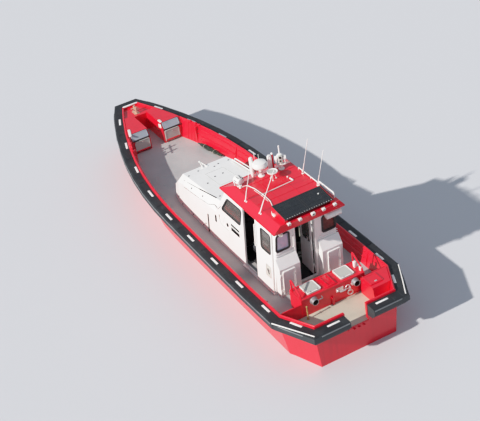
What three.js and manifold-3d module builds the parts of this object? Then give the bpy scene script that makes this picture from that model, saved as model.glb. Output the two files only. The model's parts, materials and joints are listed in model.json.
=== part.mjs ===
// An inshore rescue boat, afloat: a planing hull with a black fender all round, a white wheelhouse with
// a low trunk ahead of it, a red roof with its aerials and radar, lockers in the bow and the stern, and
// twin water jets. Millimetres. +X is forward, +Y is port and +Z is up.
// The origin is on the centreline at the waterline, below the stern rail.

import * as THREE from "three";
import { mergeVertices } from "three/addons/utils/BufferGeometryUtils.js";
import Module from "manifold-3d";

const wasm = await Module();
wasm.setup();

// Driving dimensions. Heights are from the water, unless their name or table says they are above the deck.
const DECK = 720;
const DECK_PLATE = 8;
const SEAT_GAP = 0.3;
const STERN_HALF = 1010;
const QUARTER_X = 800;
const QUARTER_HALF = 1380;
const SIDE_HALF = 1400;
const BOW_STARTS = 5600;
const BOW_END = 11070;
const BOW_HALF = 222;
const RAIL_ABOVE_DECK = 370;
const RAIL_RISE = 180;
const RAIL_RISE_STARTS = 4450;
const KNUCKLE = 690;
const BULWARK_FOOT = 150;
const BULWARK_TOP = 55;
const COAMING = 60;
const WELL_END = 10450;
const NOTCH_HALF = 270;
const FENDER = { depth: 280, belowRail: 40, side: 245, stern: 270, bow: 330, bowTurn: 0.3 };
const WALL = 40;
const CABIN_TOP = DECK + 1780;
const ROOF_TOP = DECK + 2010;

// Finishes: the colour, roughness and metalness of each material.
const finish = (color, roughness, metalness) => () =>
  new THREE.MeshStandardMaterial({ color, roughness, metalness });
const RED = finish(0xd81530, 0.42, 0);
const WHITE = finish(0xf2f1ec, 0.38, 0);
const DECK_GREY = finish(0xa9a59b, 0.85, 0);
const SAND = finish(0xcfc5ab, 0.85, 0);
const BLACK_RUBBER = finish(0x23272b, 0.75, 0);
const GREY_PANEL = finish(0xb9beb8, 0.6, 0);
const GLASS = finish(0x2c3a40, 0.08, 0);
const STEEL = finish(0xb9bcc0, 0.3, 1);
const DARK = finish(0x1b1e22, 0.6, 0);
const BRASS = finish(0xb59a63, 0.4, 1);
const GREEN = finish(0x35443a, 0.9, 0);
const CAST = finish(0x8d9196, 0.45, 0.8);

// Shapes. Each helper returns a plain geometry, and join and cut turn geometries into one closed solid.
function solidOf(shape) {
  if (shape instanceof wasm.Manifold) return shape;
  const bare = shape.clone();
  bare.deleteAttribute("normal");
  bare.deleteAttribute("uv");
  const merged = mergeVertices(bare, 1e-3);
  const kept = [];
  const index = merged.index.array;
  for (let i = 0; i < index.length; i += 3) {
    const [a, b, c] = [index[i], index[i + 1], index[i + 2]];
    if (a !== b && b !== c && c !== a) kept.push(a, b, c);
  }
  const build = (triVerts) =>
    new wasm.Manifold(
      new wasm.Mesh({
        numProp: 3,
        vertProperties: merged.attributes.position.array,
        triVerts: new Uint32Array(triVerts),
      }),
    );
  const made = build(kept);
  return made.volume() > 0 ? made : build(kept.reverse());
}

const join = (...shapes) => shapes.map(solidOf).reduce((whole, next) => whole.add(next));
const cut = (shape, ...tools) => tools.reduce((left, tool) => left.subtract(solidOf(tool)), solidOf(shape));
const common = (shape, other) => solidOf(shape).intersect(solidOf(other));

function geometryOf(shape) {
  const mesh = solidOf(shape).getMesh();
  const points = new Float32Array(mesh.numVert * 3);
  for (let i = 0; i < mesh.numVert; i++) {
    points.set(mesh.vertProperties.subarray(i * mesh.numProp, i * mesh.numProp + 3), i * 3);
  }
  const geometry = new THREE.BufferGeometry();
  geometry.setAttribute("position", new THREE.BufferAttribute(points, 3));
  geometry.setIndex(new THREE.BufferAttribute(mesh.triVerts, 1));
  const flat = geometry.toNonIndexed();
  flat.computeVertexNormals();
  return flat;
}

function block([x0, x1], [y0, y1], [z0, z1]) {
  const box = new THREE.BoxGeometry(Math.abs(x1 - x0), Math.abs(y1 - y0), Math.abs(z1 - z0));
  return box.translate((x0 + x1) / 2, (y0 + y1) / 2, (z0 + z1) / 2);
}

// An outline pushed straight along one axis. Its points are [x, y], [x, z] or [y, z]. "above" lifts
// heights measured from the deck, and "span" gives a stretch across the boat on the side of s, 1 for port.
function prism(points, axes, from, to) {
  const shape = new THREE.Shape(points.map(([a, b]) => new THREE.Vector2(a, b)));
  const flat = new THREE.ExtrudeGeometry(shape, { depth: to - from, bevelEnabled: false });
  const along = { xy: [0, 0, 1], xz: [0, -1, 0], yz: [1, 0, 0] }[axes];
  const unit = { x: [1, 0, 0], y: [0, 1, 0], z: [0, 0, 1] };
  const basis = [unit[axes[0]], unit[axes[1]], along].map((way) => new THREE.Vector3(...way));
  flat.applyMatrix4(new THREE.Matrix4().makeBasis(...basis));
  return flat.translate(...along.map((v) => (v < 0 ? -v * to : v * from)));
}
const above = (points) => points.map(([a, up]) => [a, DECK + up]);
const span = (s, from, to) => (s > 0 ? [from, to] : [-to, -from]);
const plan = (points, from, to) => prism(points, "xy", from, to);
const profile = (points, from, to) => prism(points, "xz", from, to);
const section = (points, from, to) => prism(points, "yz", from, to);

// Corners of an outline rounded by a radius, or by as much of it as a short side allows.
function rounded(points, radius, steps = 3) {
  const out = [];
  points.forEach(([x, y], i) => {
    const before = points[(i + points.length - 1) % points.length];
    const after = points[(i + 1) % points.length];
    const reach = (p) => Math.min(radius / Math.hypot(p[0] - x, p[1] - y), 0.45);
    const [a, b] = [reach(before), reach(after)];
    const start = [x + (before[0] - x) * a, y + (before[1] - y) * a];
    const end = [x + (after[0] - x) * b, y + (after[1] - y) * b];
    for (let k = 0; k <= steps; k++) {
      const t = k / steps;
      const [u, v, w] = [(1 - t) ** 2, 2 * t * (1 - t), t * t];
      out.push([u * start[0] + v * x + w * end[0], u * start[1] + v * y + w * end[1]]);
    }
  });
  return out;
}

// A skin through closed rings of the same number of points, with a flat cap on each end.
function loft(rings, capAxes = [1, 2]) {
  const count = rings[0].length;
  const triangles = [];
  const put = (...points) => points.forEach((p) => triangles.push(...p));
  for (let i = 0; i + 1 < rings.length; i++) {
    for (let k = 0; k < count; k++) {
      const next = (k + 1) % count;
      const [a, b, c, d] = [rings[i][k], rings[i][next], rings[i + 1][next], rings[i + 1][k]];
      put(a, b, c, a, c, d);
    }
  }
  // Each cap runs along its ring the way that meets the skin: against it on the first, with it on the last.
  const cap = (ring, along) => {
    const flat = ring.map((p) => new THREE.Vector2(p[capAxes[0]], p[capAxes[1]]));
    const ringWay = THREE.ShapeUtils.area(flat) > 0;
    THREE.ShapeUtils.triangulateShape(flat, []).forEach(([a, b, c]) => {
      const sameWay = THREE.ShapeUtils.area([flat[a], flat[b], flat[c]]) > 0 === ringWay;
      if (sameWay === along) put(ring[a], ring[b], ring[c]);
      else put(ring[a], ring[c], ring[b]);
    });
  };
  cap(rings[0], false);
  cap(rings[rings.length - 1], true);
  const geometry = new THREE.BufferGeometry();
  geometry.setAttribute("position", new THREE.Float32BufferAttribute(triangles, 3));
  return geometry;
}

// A turned shape: its outline is [radius, along] from one end of the axis to the other.
function turned(outline, sides = 20) {
  const lathe = new THREE.LatheGeometry(outline.map(([r, h]) => new THREE.Vector2(r, h)), sides);
  return lathe.rotateX(Math.PI / 2);
}

function rod(from, to, radius, sides = 8) {
  const a = new THREE.Vector3(...from);
  const b = new THREE.Vector3(...to);
  const bar = new THREE.CylinderGeometry(radius, radius, a.distanceTo(b), sides);
  const way = b.clone().sub(a).normalize();
  const turn = new THREE.Quaternion().setFromUnitVectors(new THREE.Vector3(0, 1, 0), way);
  const middle = a.add(b).multiplyScalar(0.5);
  return bar.applyQuaternion(turn).translate(middle.x, middle.y, middle.z);
}

// A bent tube: straight rods that meet in balls.
function tube(points, radius, sides = 8) {
  const rods = points.slice(1).map((p, i) => rod(points[i], p, radius, sides));
  const ball = (p) => new THREE.SphereGeometry(radius * 1.02, sides, 4).translate(...p);
  return join(...rods, ...points.slice(1, -1).map(ball));
}

// A flat panel lying on a face and hung on two barrels, with the barrels that stay on the face.
// The face's own axes are along the hinge, across the panel and out of the face.
const BARREL = { fixed: 9.5, moving: 8, off: 9, length: 34, between: 0.5, reach: 14 };
function hungPanel({ at, along, across, length, width, thickness, corner = 25 }) {
  const u = new THREE.Vector3(...along).normalize();
  const v = new THREE.Vector3(...across).normalize();
  const out = new THREE.Vector3().crossVectors(u, v);
  const frame = new THREE.Matrix4().makeBasis(u, v, out).setPosition(...at);
  const { reach, off } = BARREL;
  const corners = [[0, reach], [length, reach], [length, reach + width], [0, reach + width]];
  const sheet = rounded(corners, corner, 2);
  const moving = [plan(sheet, 0.5, 0.5 + thickness)];
  const fixed = [];
  [length * 0.12, length * 0.88 - 2 * BARREL.length].forEach((start) => {
    const middle = start + BARREL.length;
    const end = middle + BARREL.length;
    fixed.push(rod([start, 0, off], [middle - BARREL.between, 0, off], BARREL.fixed));
    moving.push(rod([middle, 0, off], [end, 0, off], BARREL.moving));
    moving.push(block([middle + 2, end - 2], [0, reach + 4], [off - 5, Math.min(off + 5, thickness)]));
  });
  const place = (shapes) => join(...shapes.map((shape) => shape.applyMatrix4(frame)));
  return { panel: place(moving), barrels: place(fixed) };
}

const boat = new THREE.Group();
function piece(name, material, shape, group = boat) {
  const mesh = new THREE.Mesh(geometryOf(shape), material());
  mesh.name = name;
  group.add(mesh);
  return mesh;
}
const SIDES = [
  { side: "port", s: 1 },
  { side: "starboard", s: -1 },
];

// Hull lines. The rail runs straight across the stern, cuts the corner at the quarter and curves in to
// the bow.
// Between the stations every line runs straight, so a piece that follows the hull meets it anywhere.
const STATIONS = [0, 800, 2000, 3800, 5600, 6300, 7000, 7700, 8400, 9100, 9800, 10450, 10800, 11070];
const straightened = (curve) => (x) => {
  const i = Math.max(1, STATIONS.findIndex((station) => station >= x));
  const [from, to] = [STATIONS[i - 1], STATIONS[i]];
  return curve(from) + ((curve(to) - curve(from)) * (x - from)) / (to - from);
};
const railTop = straightened((x) => {
  const along = Math.max(0, x - RAIL_RISE_STARTS) / (BOW_END - RAIL_RISE_STARTS);
  return DECK + RAIL_ABOVE_DECK + RAIL_RISE * along ** 0.9;
});
const BOW_CURVE = 2.16;
function railCurve(x) {
  if (x < QUARTER_X) return STERN_HALF + ((QUARTER_HALF - STERN_HALF) * x) / QUARTER_X;
  const swell = Math.min(1, (x - QUARTER_X) / 1200);
  const side = QUARTER_HALF + (SIDE_HALF - QUARTER_HALF) * swell;
  const t = Math.max(0, (x - BOW_STARTS) / (BOW_END - BOW_STARTS));
  return side - (SIDE_HALF - BOW_HALF) * t ** BOW_CURVE;
}
const railHalf = straightened(railCurve);
const bowShare = (x) => Math.max(0, (x - BOW_STARTS) / (BOW_END - BOW_STARTS));
const CHINE = { in: 80, widest: 1225, bowHalf: 60, stern: -140, rise: 40, bowRise: 630 };
const KEEL = { stern: -520, drop: 80, bowRise: 1040 };
function chineHalf(x) {
  const fine = bowShare(x) ** 2.6;
  return Math.min(railHalf(x) - CHINE.in, CHINE.widest) * (1 - fine) + CHINE.bowHalf * fine;
}
const chineHeight = (x) =>
  CHINE.stern + (CHINE.rise * x) / BOW_STARTS + CHINE.bowRise * bowShare(x) ** 1.8;
const keelHeight = (x) =>
  KEEL.stern - (KEEL.drop * Math.min(x, BOW_STARTS)) / BOW_STARTS + KEEL.bowRise * bowShare(x) ** 2.8;

function hullRing(x) {
  const half = [
    [chineHalf(x), chineHeight(x)],
    [railHalf(x), KNUCKLE],
    [railHalf(x), railTop(x)],
  ];
  const starboard = half.map(([y, z]) => [x, -y, z]);
  const port = half.map(([y, z]) => [x, y, z]).reverse();
  return [[x, 0, keelHeight(x)], ...starboard, ...port];
}

// The well inside the bulwarks, narrower at the deck than at the rail.
const wellHalf = (x, z) => {
  const rise = (z - DECK) / (railTop(x) - DECK);
  return railHalf(x) - BULWARK_FOOT + (BULWARK_FOOT - BULWARK_TOP) * rise;
};
const WELL_STATIONS = [COAMING, ...STATIONS.filter((x) => x > COAMING && x <= WELL_END)];
function wellRing(x, low, high) {
  const [foot, head] = [wellHalf(x, low), wellHalf(x, high)];
  return [[x, -foot, low], [x, foot, low], [x, head, high], [x, -head, high]];
}

// The engine room below the stern deck, open at the top.
const ENGINE_ROOM = { x: [960, 2240], half: 800, floor: -150 };
const FOREDECK = DECK + 500;
// Webs that stiffen the bulwark: place along the boat, thickness, depth inboard at the rail.
const WEBS = [[1500, 14, 75], [4700, 14, 75], [6000, 14, 70], [7300, 14, 70], [8850, 70, 95]];

function hull() {
  const body = loft(STATIONS.map(hullRing));
  const well = loft(WELL_STATIONS.map((x) => wellRing(x, DECK - DECK_PLATE - SEAT_GAP, railTop(x) + 100)));
  const sill = DECK - DECK_PLATE - SEAT_GAP;
  const notch = block([-50, COAMING + 20], [-NOTCH_HALF, NOTCH_HALF], [sill, DECK + 600]);
  const { x, half, floor } = ENGINE_ROOM;
  const room = block(x, [-half, half], [floor, DECK]);
  const bowStops = [WELL_END - 1, 10800, BOW_END - BULWARK_TOP];
  const bowEdge = bowStops.map((at) => [at, railHalf(at) - BULWARK_TOP]);
  const bowOutline = [...bowEdge, ...bowEdge.map(([at, y]) => [at, -y]).reverse()];
  const foredeck = plan(bowOutline, FOREDECK, DECK + 900);
  const shell = cut(body, well, notch, room, foredeck);
  const webs = WEBS.flatMap(([at, thick, deep]) =>
    SIDES.map(({ s }) => {
      const rail = railTop(at) - 12;
      const outer = railHalf(at) - 30;
      const foot = wellHalf(at, DECK) - 4;
      const inner = wellHalf(at, rail) - deep;
      // A thin web slopes back to the rail, a thick one is square to it.
      const head = thick > 20 ? [[inner, rail - 60], [inner, rail]] : [[inner, rail - 190], [inner + deep - 6, rail]];
      const edge = [[foot, DECK + 0.4], ...head];
      const shape = [[outer, DECK - 2], ...edge, [outer, rail]];
      return section(shape.map(([y, z]) => [s * y, z]), at, at + thick);
    }),
  );
  return join(shell, ...webs);
}
piece("hull", RED, hull());

// Deck plates between the bulwarks, with the hatch opening over the engine room.
const STERN_DECK_END = 780;
const HATCH_HOLE = { x: [985, 1290], half: 680 };
function deckOutline(from, to) {
  const stops = [from, ...STATIONS.filter((x) => x > from && x < to), to];
  const edge = stops.map((x) => [x, wellHalf(x, DECK - DECK_PLATE) - 1]);
  return [...edge, ...edge.map(([x, y]) => [x, -y]).reverse()];
}
function sternDeck() {
  const floor = plan(deckOutline(COAMING + 1, STERN_DECK_END), DECK - DECK_PLATE, DECK);
  const tongue = block([-70, COAMING + 30], [1 - NOTCH_HALF, NOTCH_HALF - 1], [DECK - DECK_PLATE, DECK]);
  return join(floor, tongue);
}
piece("stern_deck", SAND, sternDeck());
const mainFloor = plan(deckOutline(STERN_DECK_END + 1, WELL_END - 1), DECK - DECK_PLATE, DECK);
const { x: holeX, half: holeHalf } = HATCH_HOLE;
piece("main_deck", DECK_GREY, cut(mainFloor, block(holeX, [-holeHalf, holeHalf], [DECK - 50, DECK + 50])));

// The stern step below the notch, with its two grab lugs.
function sternStep() {
  const plate = block([-92, -SEAT_GAP], [-255, 255], [DECK - 62, DECK - DECK_PLATE - SEAT_GAP]);
  const lugs = [-120, 0, 120].map((y) => block([-128, -60], [y - 22, y + 22], [DECK - 62, DECK - 34]));
  return join(plate, ...lugs);
}
piece("stern_step", RED, sternStep());

// The fender: one section carried round the hull from one side of the stern notch to the other.
function fender() {
  const side = STATIONS.map((x) => [x, railHalf(x)]);
  const half = [[0, NOTCH_HALF + 20], ...side];
  const path = [...half, ...half.map(([x, y]) => [x, -y]).reverse()];
  const normal = (i) => {
    const [a, b] = [path[i], path[i + 1]];
    const length = Math.hypot(b[0] - a[0], b[1] - a[1]);
    return [-(b[1] - a[1]) / length, (b[0] - a[0]) / length];
  };
  const rings = path.map(([x, y], i) => {
    const before = normal(Math.max(0, i - 1));
    const after = normal(Math.min(path.length - 2, i));
    let way = [before[0] + after[0], before[1] + after[1]];
    const scale = 2 / (way[0] ** 2 + way[1] ** 2);
    way = way.map((v) => v * scale);
    let wide = x < 1 ? FENDER.stern : FENDER.side;
    if (x === BOW_END) {
      way = [Math.cos(FENDER.bowTurn), Math.sign(y) * Math.sin(FENDER.bowTurn)];
      wide = FENDER.bow;
    }
    const top = railTop(x) - FENDER.belowRail;
    const shape = [
      [0.5, 0],
      [wide - 45, 0],
      [wide - 8, -16],
      [wide, -45],
      [wide, -140],
      [wide - 100, -FENDER.depth + 20],
      [0.5, -FENDER.depth],
    ];
    return shape.map(([off, down]) => [x + way[0] * off, y + way[1] * off, top + down]);
  });
  return loft(rings, [0, 2]);
}
piece("fender", BLACK_RUBBER, fender());

// Bow lockers, one each side of the recess, each with a door below and a lid on its sloping face.
const LOCKER = { aft: 9450, inner: 195, door: 385, slopeEnd: 9570, top: 560 };
SIDES.forEach(({ side, s }) => {
  const ring = (z) => {
    const stops = [LOCKER.aft, 9800, WELL_END - 1];
    const outer = stops.map((x) => [x, s * (wellHalf(x, Math.min(z, railTop(x))) - 4), z]);
    return [[LOCKER.aft, s * LOCKER.inner, z], ...outer, [WELL_END - 1, s * LOCKER.inner, z]];
  };
  const body = loft([ring(DECK + SEAT_GAP), ring(DECK + LOCKER.top)], [0, 1]);
  const { aft, door, slopeEnd, top } = LOCKER;
  const face = [[aft - 50, door], [aft, door], [slopeEnd, top], [slopeEnd, top + 50], [aft - 50, top + 50]];
  const slope = profile(above(face), -900, 900);
  const outboard = 650;
  const doorSize = outboard - LOCKER.inner - 50;
  const hungDoor = hungPanel({
    at: [aft, s * (outboard - 5), DECK + (s > 0 ? door - 25 : 25)],
    along: [0, 0, -s],
    across: [0, -s, 0],
    length: door - 50,
    width: doorSize,
    thickness: 18,
  });
  const lidFoot = [[aft + 28, door + 20], [aft + 22, door + 45]];
  const lidHead = [[slopeEnd - 26, top - 22], [slopeEnd - 20, top - 34]];
  const tread = profile(above([...lidFoot, ...lidHead]), ...span(s, LOCKER.inner + 25, outboard));
  piece(`bow_locker_${side}`, RED, join(cut(body, slope), hungDoor.barrels, tread));
  piece(`bow_locker_door_${side}`, GREY_PANEL, hungDoor.panel);
});

// The mooring bitt on the foredeck: two posts with a bar through each.
function bowBitt() {
  const parts = [block([-110, 110], [-70, 70], [0, 12])];
  [-55, 55].forEach((x) => {
    parts.push(rod([x, 0, 6], [x, 0, 190], 30, 14));
    parts.push(rod([x, -95, 120], [x, 95, 120], 16, 10));
  });
  parts.push(rod([-55, 0, 160], [55, 0, 160], 14, 10));
  return join(...parts);
}
piece("bow_bitt", BRASS, bowBitt()).position.set(10640, 20, FOREDECK + SEAT_GAP);

// The rolled scrambling net at the foot of the starboard bulwark.
const NET = { from: [7780, -955, DECK + 74.3], to: [8690, -800, DECK + 74.3], radius: 74 };
piece("net_roll", GREEN, rod(NET.from, NET.to, NET.radius, 12));

// The cabin: a wheelhouse whose walls lean in, and the trunk that runs on ahead of it.
const wallHalf = (z) => 845 - 0.0824 * (z - DECK);
const aftWall = (z) => 1900 - 0.097 * (z - DECK);
const windscreen = (z) => 5103 - 0.68 * (z - DECK);
const CABIN_FOOT = DECK + SEAT_GAP;
const CABIN_HEAD = CABIN_TOP - SEAT_GAP;

function wheelhouse(inset, low, high) {
  const ring = (z) => {
    const [aft, front, half] = [aftWall(z) + inset, windscreen(z) - inset * 1.2, wallHalf(z) - inset];
    return [[aft, -half, z], [front, -half, z], [front, half, z], [aft, half, z]];
  };
  return loft([ring(low), ring(high)], [0, 1]);
}

// Trunk sections: half beam at the deck, then half beam and height above deck at the shoulder and the top.
const TRUNK = [
  { x: 4500, foot: 845, shoulder: 781, shoulderUp: 770, top: 640, topUp: 1030 },
  { x: 5050, foot: 845, shoulder: 783, shoulderUp: 750, top: 640, topUp: 950 },
  { x: 6300, foot: 832, shoulder: 775, shoulderUp: 655, top: 620, topUp: 800 },
  { x: 6620, foot: 812, shoulder: 760, shoulderUp: 590, top: 600, topUp: 740 },
  { x: 6900, foot: 770, shoulder: 722, shoulderUp: 380, top: 560, topUp: 500 },
  { x: 7120, foot: 600, shoulder: 570, shoulderUp: 150, top: 470, topUp: 220 },
];
function trunk(inset, low) {
  const rings = TRUNK.map(({ x, foot, shoulder, shoulderUp, top, topUp }, i) => {
    const shift = i === 0 ? 0 : inset;
    const lifted = [
      [foot - inset, low],
      [shoulder - inset, Math.max(DECK + shoulderUp - inset * 0.5, low + 20)],
      [top - inset * 0.5, Math.max(DECK + topUp - inset, low + 20)],
    ];
    const port = lifted.map(([y, z]) => [x - shift, y, z]);
    const starboard = lifted.map(([y, z]) => [x - shift, -y, z]).reverse();
    return [...port, ...starboard];
  });
  return loft(rings);
}

// Window and door outlines: side ones are [x, height above deck], aft and front ones [y, height above
// deck].
const SIDE_WINDOW = above([[3395, 1015], [4250, 1010], [3945, 1415], [3300, 1425]]);
const AFT_SIDE_WINDOW = above([[1985, 1000], [2385, 1000], [2375, 1490], [1965, 1490]]);
const DOORWAY = { x: [2670, 3240], up: [60, 1560] };
const AFT_WINDOW = above([[420, 1155], [748, 1155], [720, 1580], [420, 1580]]);
const AFT_DOORWAY = { y: [-215, 270], up: [60, 1630] };
const SCREEN_PANES = [
  above([[-640, 1030], [-235, 1030], [-225, 1640], [-575, 1640]]),
  above([[-205, 1030], [205, 1030], [195, 1640], [-195, 1640]]),
  above([[235, 1030], [640, 1030], [575, 1640], [225, 1640]]),
];
const CORNER = 55;

const sideTool = (outline, s) => profile(rounded(outline, CORNER), ...span(s, 600, 950));
const flip = (outline, s) => outline.map(([y, z]) => [s * y, z]);
// The aft wall's windows are cut through that wall alone, since they reach the side walls' inner faces.
const aftTool = (outline) => {
  const slab = profile(leaning(aftWall, [-60, WALL + 0.2], [900, 1700]), -900, 900);
  return common(section(rounded(outline, CORNER), 1600, 2150), slab);
};
const screenTool = (outline) => section(rounded(outline, CORNER), 3500, 4800);

// The sliding side doors run outside the wall on a rail below and a keeper above.
const LEAF = { aft: 1925, width: 700, low: 35.3, high: 1602, off: 8, thick: 30, travel: 650 };
const TRACK = { x: [1905, 3300], low: [10, 35], high: [1609, 1640], out: 46 };
// A band that leans with a wall: its offsets are out from the side wall, or in from the aft wall or screen.
const leaning = (line, offsets, [low, high]) => {
  const [foot, head] = [line(DECK + low), line(DECK + high)];
  const [near, far] = offsets;
  return above([[foot + near, low], [foot + far, low], [head + far, high], [head + near, high]]);
};
const wallBand = (s, from, to, heights) => flip(leaning(wallHalf, [from, to], heights), s);

// The aft door swings into the cabin on its starboard jamb.
const AFT_DOOR = { gap: 6, face: 6, thick: 28, barrel: 11 };
const AFT_HINGE = { y: AFT_DOORWAY.y[0] + 16, in: WALL + 14, ups: [250, 1350] };

function cabin() {
  const outside = join(wheelhouse(0, CABIN_FOOT, CABIN_HEAD), trunk(0, CABIN_FOOT));
  const inside = join(wheelhouse(WALL, CABIN_FOOT - 5, CABIN_HEAD + 5), trunk(WALL, CABIN_FOOT - 5));
  const holes = [];
  SIDES.forEach(({ s }) => {
    holes.push(sideTool(SIDE_WINDOW, s), sideTool(AFT_SIDE_WINDOW, s), aftTool(flip(AFT_WINDOW, s)));
    const [low, high] = DOORWAY.up;
    holes.push(block(DOORWAY.x, span(s, 600, 950), [DECK + low, DECK + high]));
  });
  SCREEN_PANES.forEach((pane) => holes.push(screenTool(pane)));
  const [low, high] = AFT_DOORWAY.up;
  holes.push(block([1600, 2150], AFT_DOORWAY.y, [DECK + low, DECK + high]));
  const shell = cut(cut(outside, inside), ...holes);
  const tracks = SIDES.flatMap(({ s }) => [
    section(wallBand(s, -5, TRACK.out, TRACK.low), ...TRACK.x),
    section(wallBand(s, -5, TRACK.out, TRACK.high), ...TRACK.x),
  ]);
  return join(shell, ...tracks, ...aftHinge().fixed);
}

// Hinge barrels of the aft door, on an axis that leans with the wall, and the leaf in its closed place.
function aftHinge() {
  const point = (up) => [aftWall(DECK + up) + AFT_HINGE.in, AFT_HINGE.y, DECK + up];
  const fixed = [];
  const moving = [];
  AFT_HINGE.ups.forEach((up) => {
    const wall = aftWall(DECK + up);
    const jambX = [wall + 20, wall + AFT_HINGE.in + 4];
    const jamb = block(jambX, [AFT_DOORWAY.y[0] - 25, AFT_HINGE.y], [DECK + up, DECK + up + 38]);
    fixed.push(join(rod(point(up), point(up + 40), AFT_DOOR.barrel, 10), jamb));
    moving.push(rod(point(up + 40.5), point(up + 80), AFT_DOOR.barrel, 10));
  });
  return { fixed, moving };
}

function aftDoorClosed() {
  const { gap, face, thick } = AFT_DOOR;
  const [low, high] = AFT_DOORWAY.up;
  const [starboard, port] = AFT_DOORWAY.y;
  const shape = leaning(aftWall, [face, face + thick], [low + gap, high - gap]);
  const leaf = profile(shape, starboard + 30, port - gap);
  const straps = AFT_HINGE.ups.map((up) => {
    const x = aftWall(DECK + up + 60);
    const strapX = [x + face + 10, x + AFT_HINGE.in + 6];
    return block(strapX, [AFT_HINGE.y - 2, starboard + 60], [DECK + up + 44, DECK + up + 78]);
  });
  return join(leaf, ...straps, ...aftHinge().moving);
}
piece("cabin", WHITE, cabin());

// Panes stand in the middle of the wall, clear of the opening's edge all round.
const PANE = { in: 16, thick: 8, gap: 0.6 };
function shrink(points, by) {
  const middle = [0, 1].map((k) => points.reduce((sum, p) => sum + p[k], 0) / points.length);
  const spread = [0, 1].map((k) => Math.max(...points.map((p) => Math.abs(p[k] - middle[k]))));
  return points.map((p) => p.map((v, k) => middle[k] + (v - middle[k]) * (1 - by / spread[k])));
}
const paneOutline = (outline) => shrink(rounded(outline, CORNER), PANE.gap);
const PANE_HEIGHTS = [900, 1700];
const slabBand = (s) => wallBand(s, -PANE.in - PANE.thick, -PANE.in, PANE_HEIGHTS);
const aftSlab = (from, to) => profile(leaning(aftWall, [from, to], PANE_HEIGHTS), -900, 900);
SIDES.forEach(({ side, s }) => {
  const sidePane = (outline) => {
    const pushed = profile(paneOutline(outline), ...span(s, 600, 950));
    return common(pushed, section(slabBand(s), 1900, 4400));
  };
  piece(`side_window_${side}`, GLASS, sidePane(SIDE_WINDOW));
  piece(`aft_side_window_${side}`, GLASS, sidePane(AFT_SIDE_WINDOW));
  const aftPane = section(paneOutline(flip(AFT_WINDOW, s)), 1600, 2150);
  piece(`aft_window_${side}`, GLASS, common(aftPane, aftSlab(PANE.in, PANE.in + PANE.thick)));
});

// The windscreen is one sheet bonded behind the three openings.
const SCREEN_SHEET = above([[-690, 985], [690, 985], [620, 1680], [-620, 1680]]);
const sheetIn = WALL * 1.2 + 1;
const sheetSlab = profile(leaning(windscreen, [-sheetIn - PANE.thick, -sheetIn], PANE_HEIGHTS), -900, 900);
piece("windscreen", GLASS, common(section(SCREEN_SHEET, 3500, 4800), sheetSlab));

// Sliding leaves: the port one stands open against the aft wall's side, the starboard one is shut.
SIDES.forEach(({ side, s }) => {
  const shift = s > 0 ? 0 : LEAF.travel;
  const band = wallBand(s, LEAF.off, LEAF.off + LEAF.thick, [LEAF.low, LEAF.high]);
  const window = AFT_SIDE_WINDOW.map(([x, z]) => [x + shift, z]);
  const slab = section(band, LEAF.aft + shift, LEAF.aft + LEAF.width + shift);
  piece(`side_door_${side}`, WHITE, cut(slab, sideTool(window, s)));
  const glassBand = wallBand(s, LEAF.off + 10, LEAF.off + 18, PANE_HEIGHTS);
  const sheet = section(glassBand, LEAF.aft + shift, LEAF.aft + LEAF.width + shift);
  const outline = profile(paneOutline(window), ...span(s, 600, 950));
  piece(`side_door_glass_${side}`, GLASS, common(outline, sheet));
});

// The aft door, built shut and turned a quarter into the cabin about its leaning hinge line.
function openAftDoor() {
  const low = new THREE.Vector3(aftWall(DECK) + AFT_HINGE.in, AFT_HINGE.y, DECK);
  const axis = new THREE.Vector3(aftWall(DECK + 1000) - aftWall(DECK), 0, 1000).normalize();
  const group = new THREE.Group();
  group.position.copy(low);
  group.quaternion.setFromAxisAngle(axis, -Math.PI / 2);
  const place = (shape) => geometryOf(shape).translate(-low.x, -low.y, -low.z);
  const window = rounded(above([[-130, 900], [205, 900], [205, 1500], [-130, 1500]]), CORNER);
  const leaf = cut(aftDoorClosed(), section(window, 1600, 2150));
  const pane = section(shrink(window, PANE.gap), 1600, 2150);
  const glass = common(pane, aftSlab(AFT_DOOR.face + 10, AFT_DOOR.face + 18));
  piece("aft_door", WHITE, place(leaf), group);
  piece("aft_door_glass", GLASS, place(glass), group);
  boat.add(group);
}
openAftDoor();

// Lockers on the aft wall, each side of the door, with sloping tops and hung doors.
const WALL_LOCKER = { y: [285, 800], deep: 170, front: 760, back: 985 };
SIDES.forEach(({ side, s }) => {
  const { y, deep, front, back } = WALL_LOCKER;
  const gap = 1;
  const shape = [
    [aftWall(DECK) - gap, CABIN_FOOT],
    [aftWall(DECK) - deep, CABIN_FOOT],
    [aftWall(DECK + front) - deep, DECK + front],
    [aftWall(DECK + back) - gap - 22, DECK + back],
    [aftWall(DECK + back) - gap, DECK + back],
  ];
  const body = profile(shape, ...span(s, ...y));
  const lean = [aftWall(DECK + 1000) - aftWall(DECK), 0, 1000];
  const up = s > 0 ? 1 : -1;
  const foot = s > 0 ? front - 55 : 55;
  const door = hungPanel({
    at: [aftWall(DECK + foot) - deep, s * (y[1] - 50), DECK + foot],
    along: lean.map((v) => -up * v),
    across: [0, -s, 0],
    length: front - 110,
    width: 325,
    thickness: 18,
  });
  piece(`aft_locker_${side}`, WHITE, join(body, door.barrels));
  piece(`aft_locker_door_${side}`, WHITE, door.panel);
});

// The engine casing on the stern deck, its wing bulkheads, guard frames and two hatches.
const CASING = { x: [845, 1325], half: 800, top: 460, wall: 30 };
const HATCH = { aft: 905, width: 372, inner: 245, length: 350, thick: 32 };
const HATCHWAY = { x: [945, 1240], y: [285, 555] };
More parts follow.
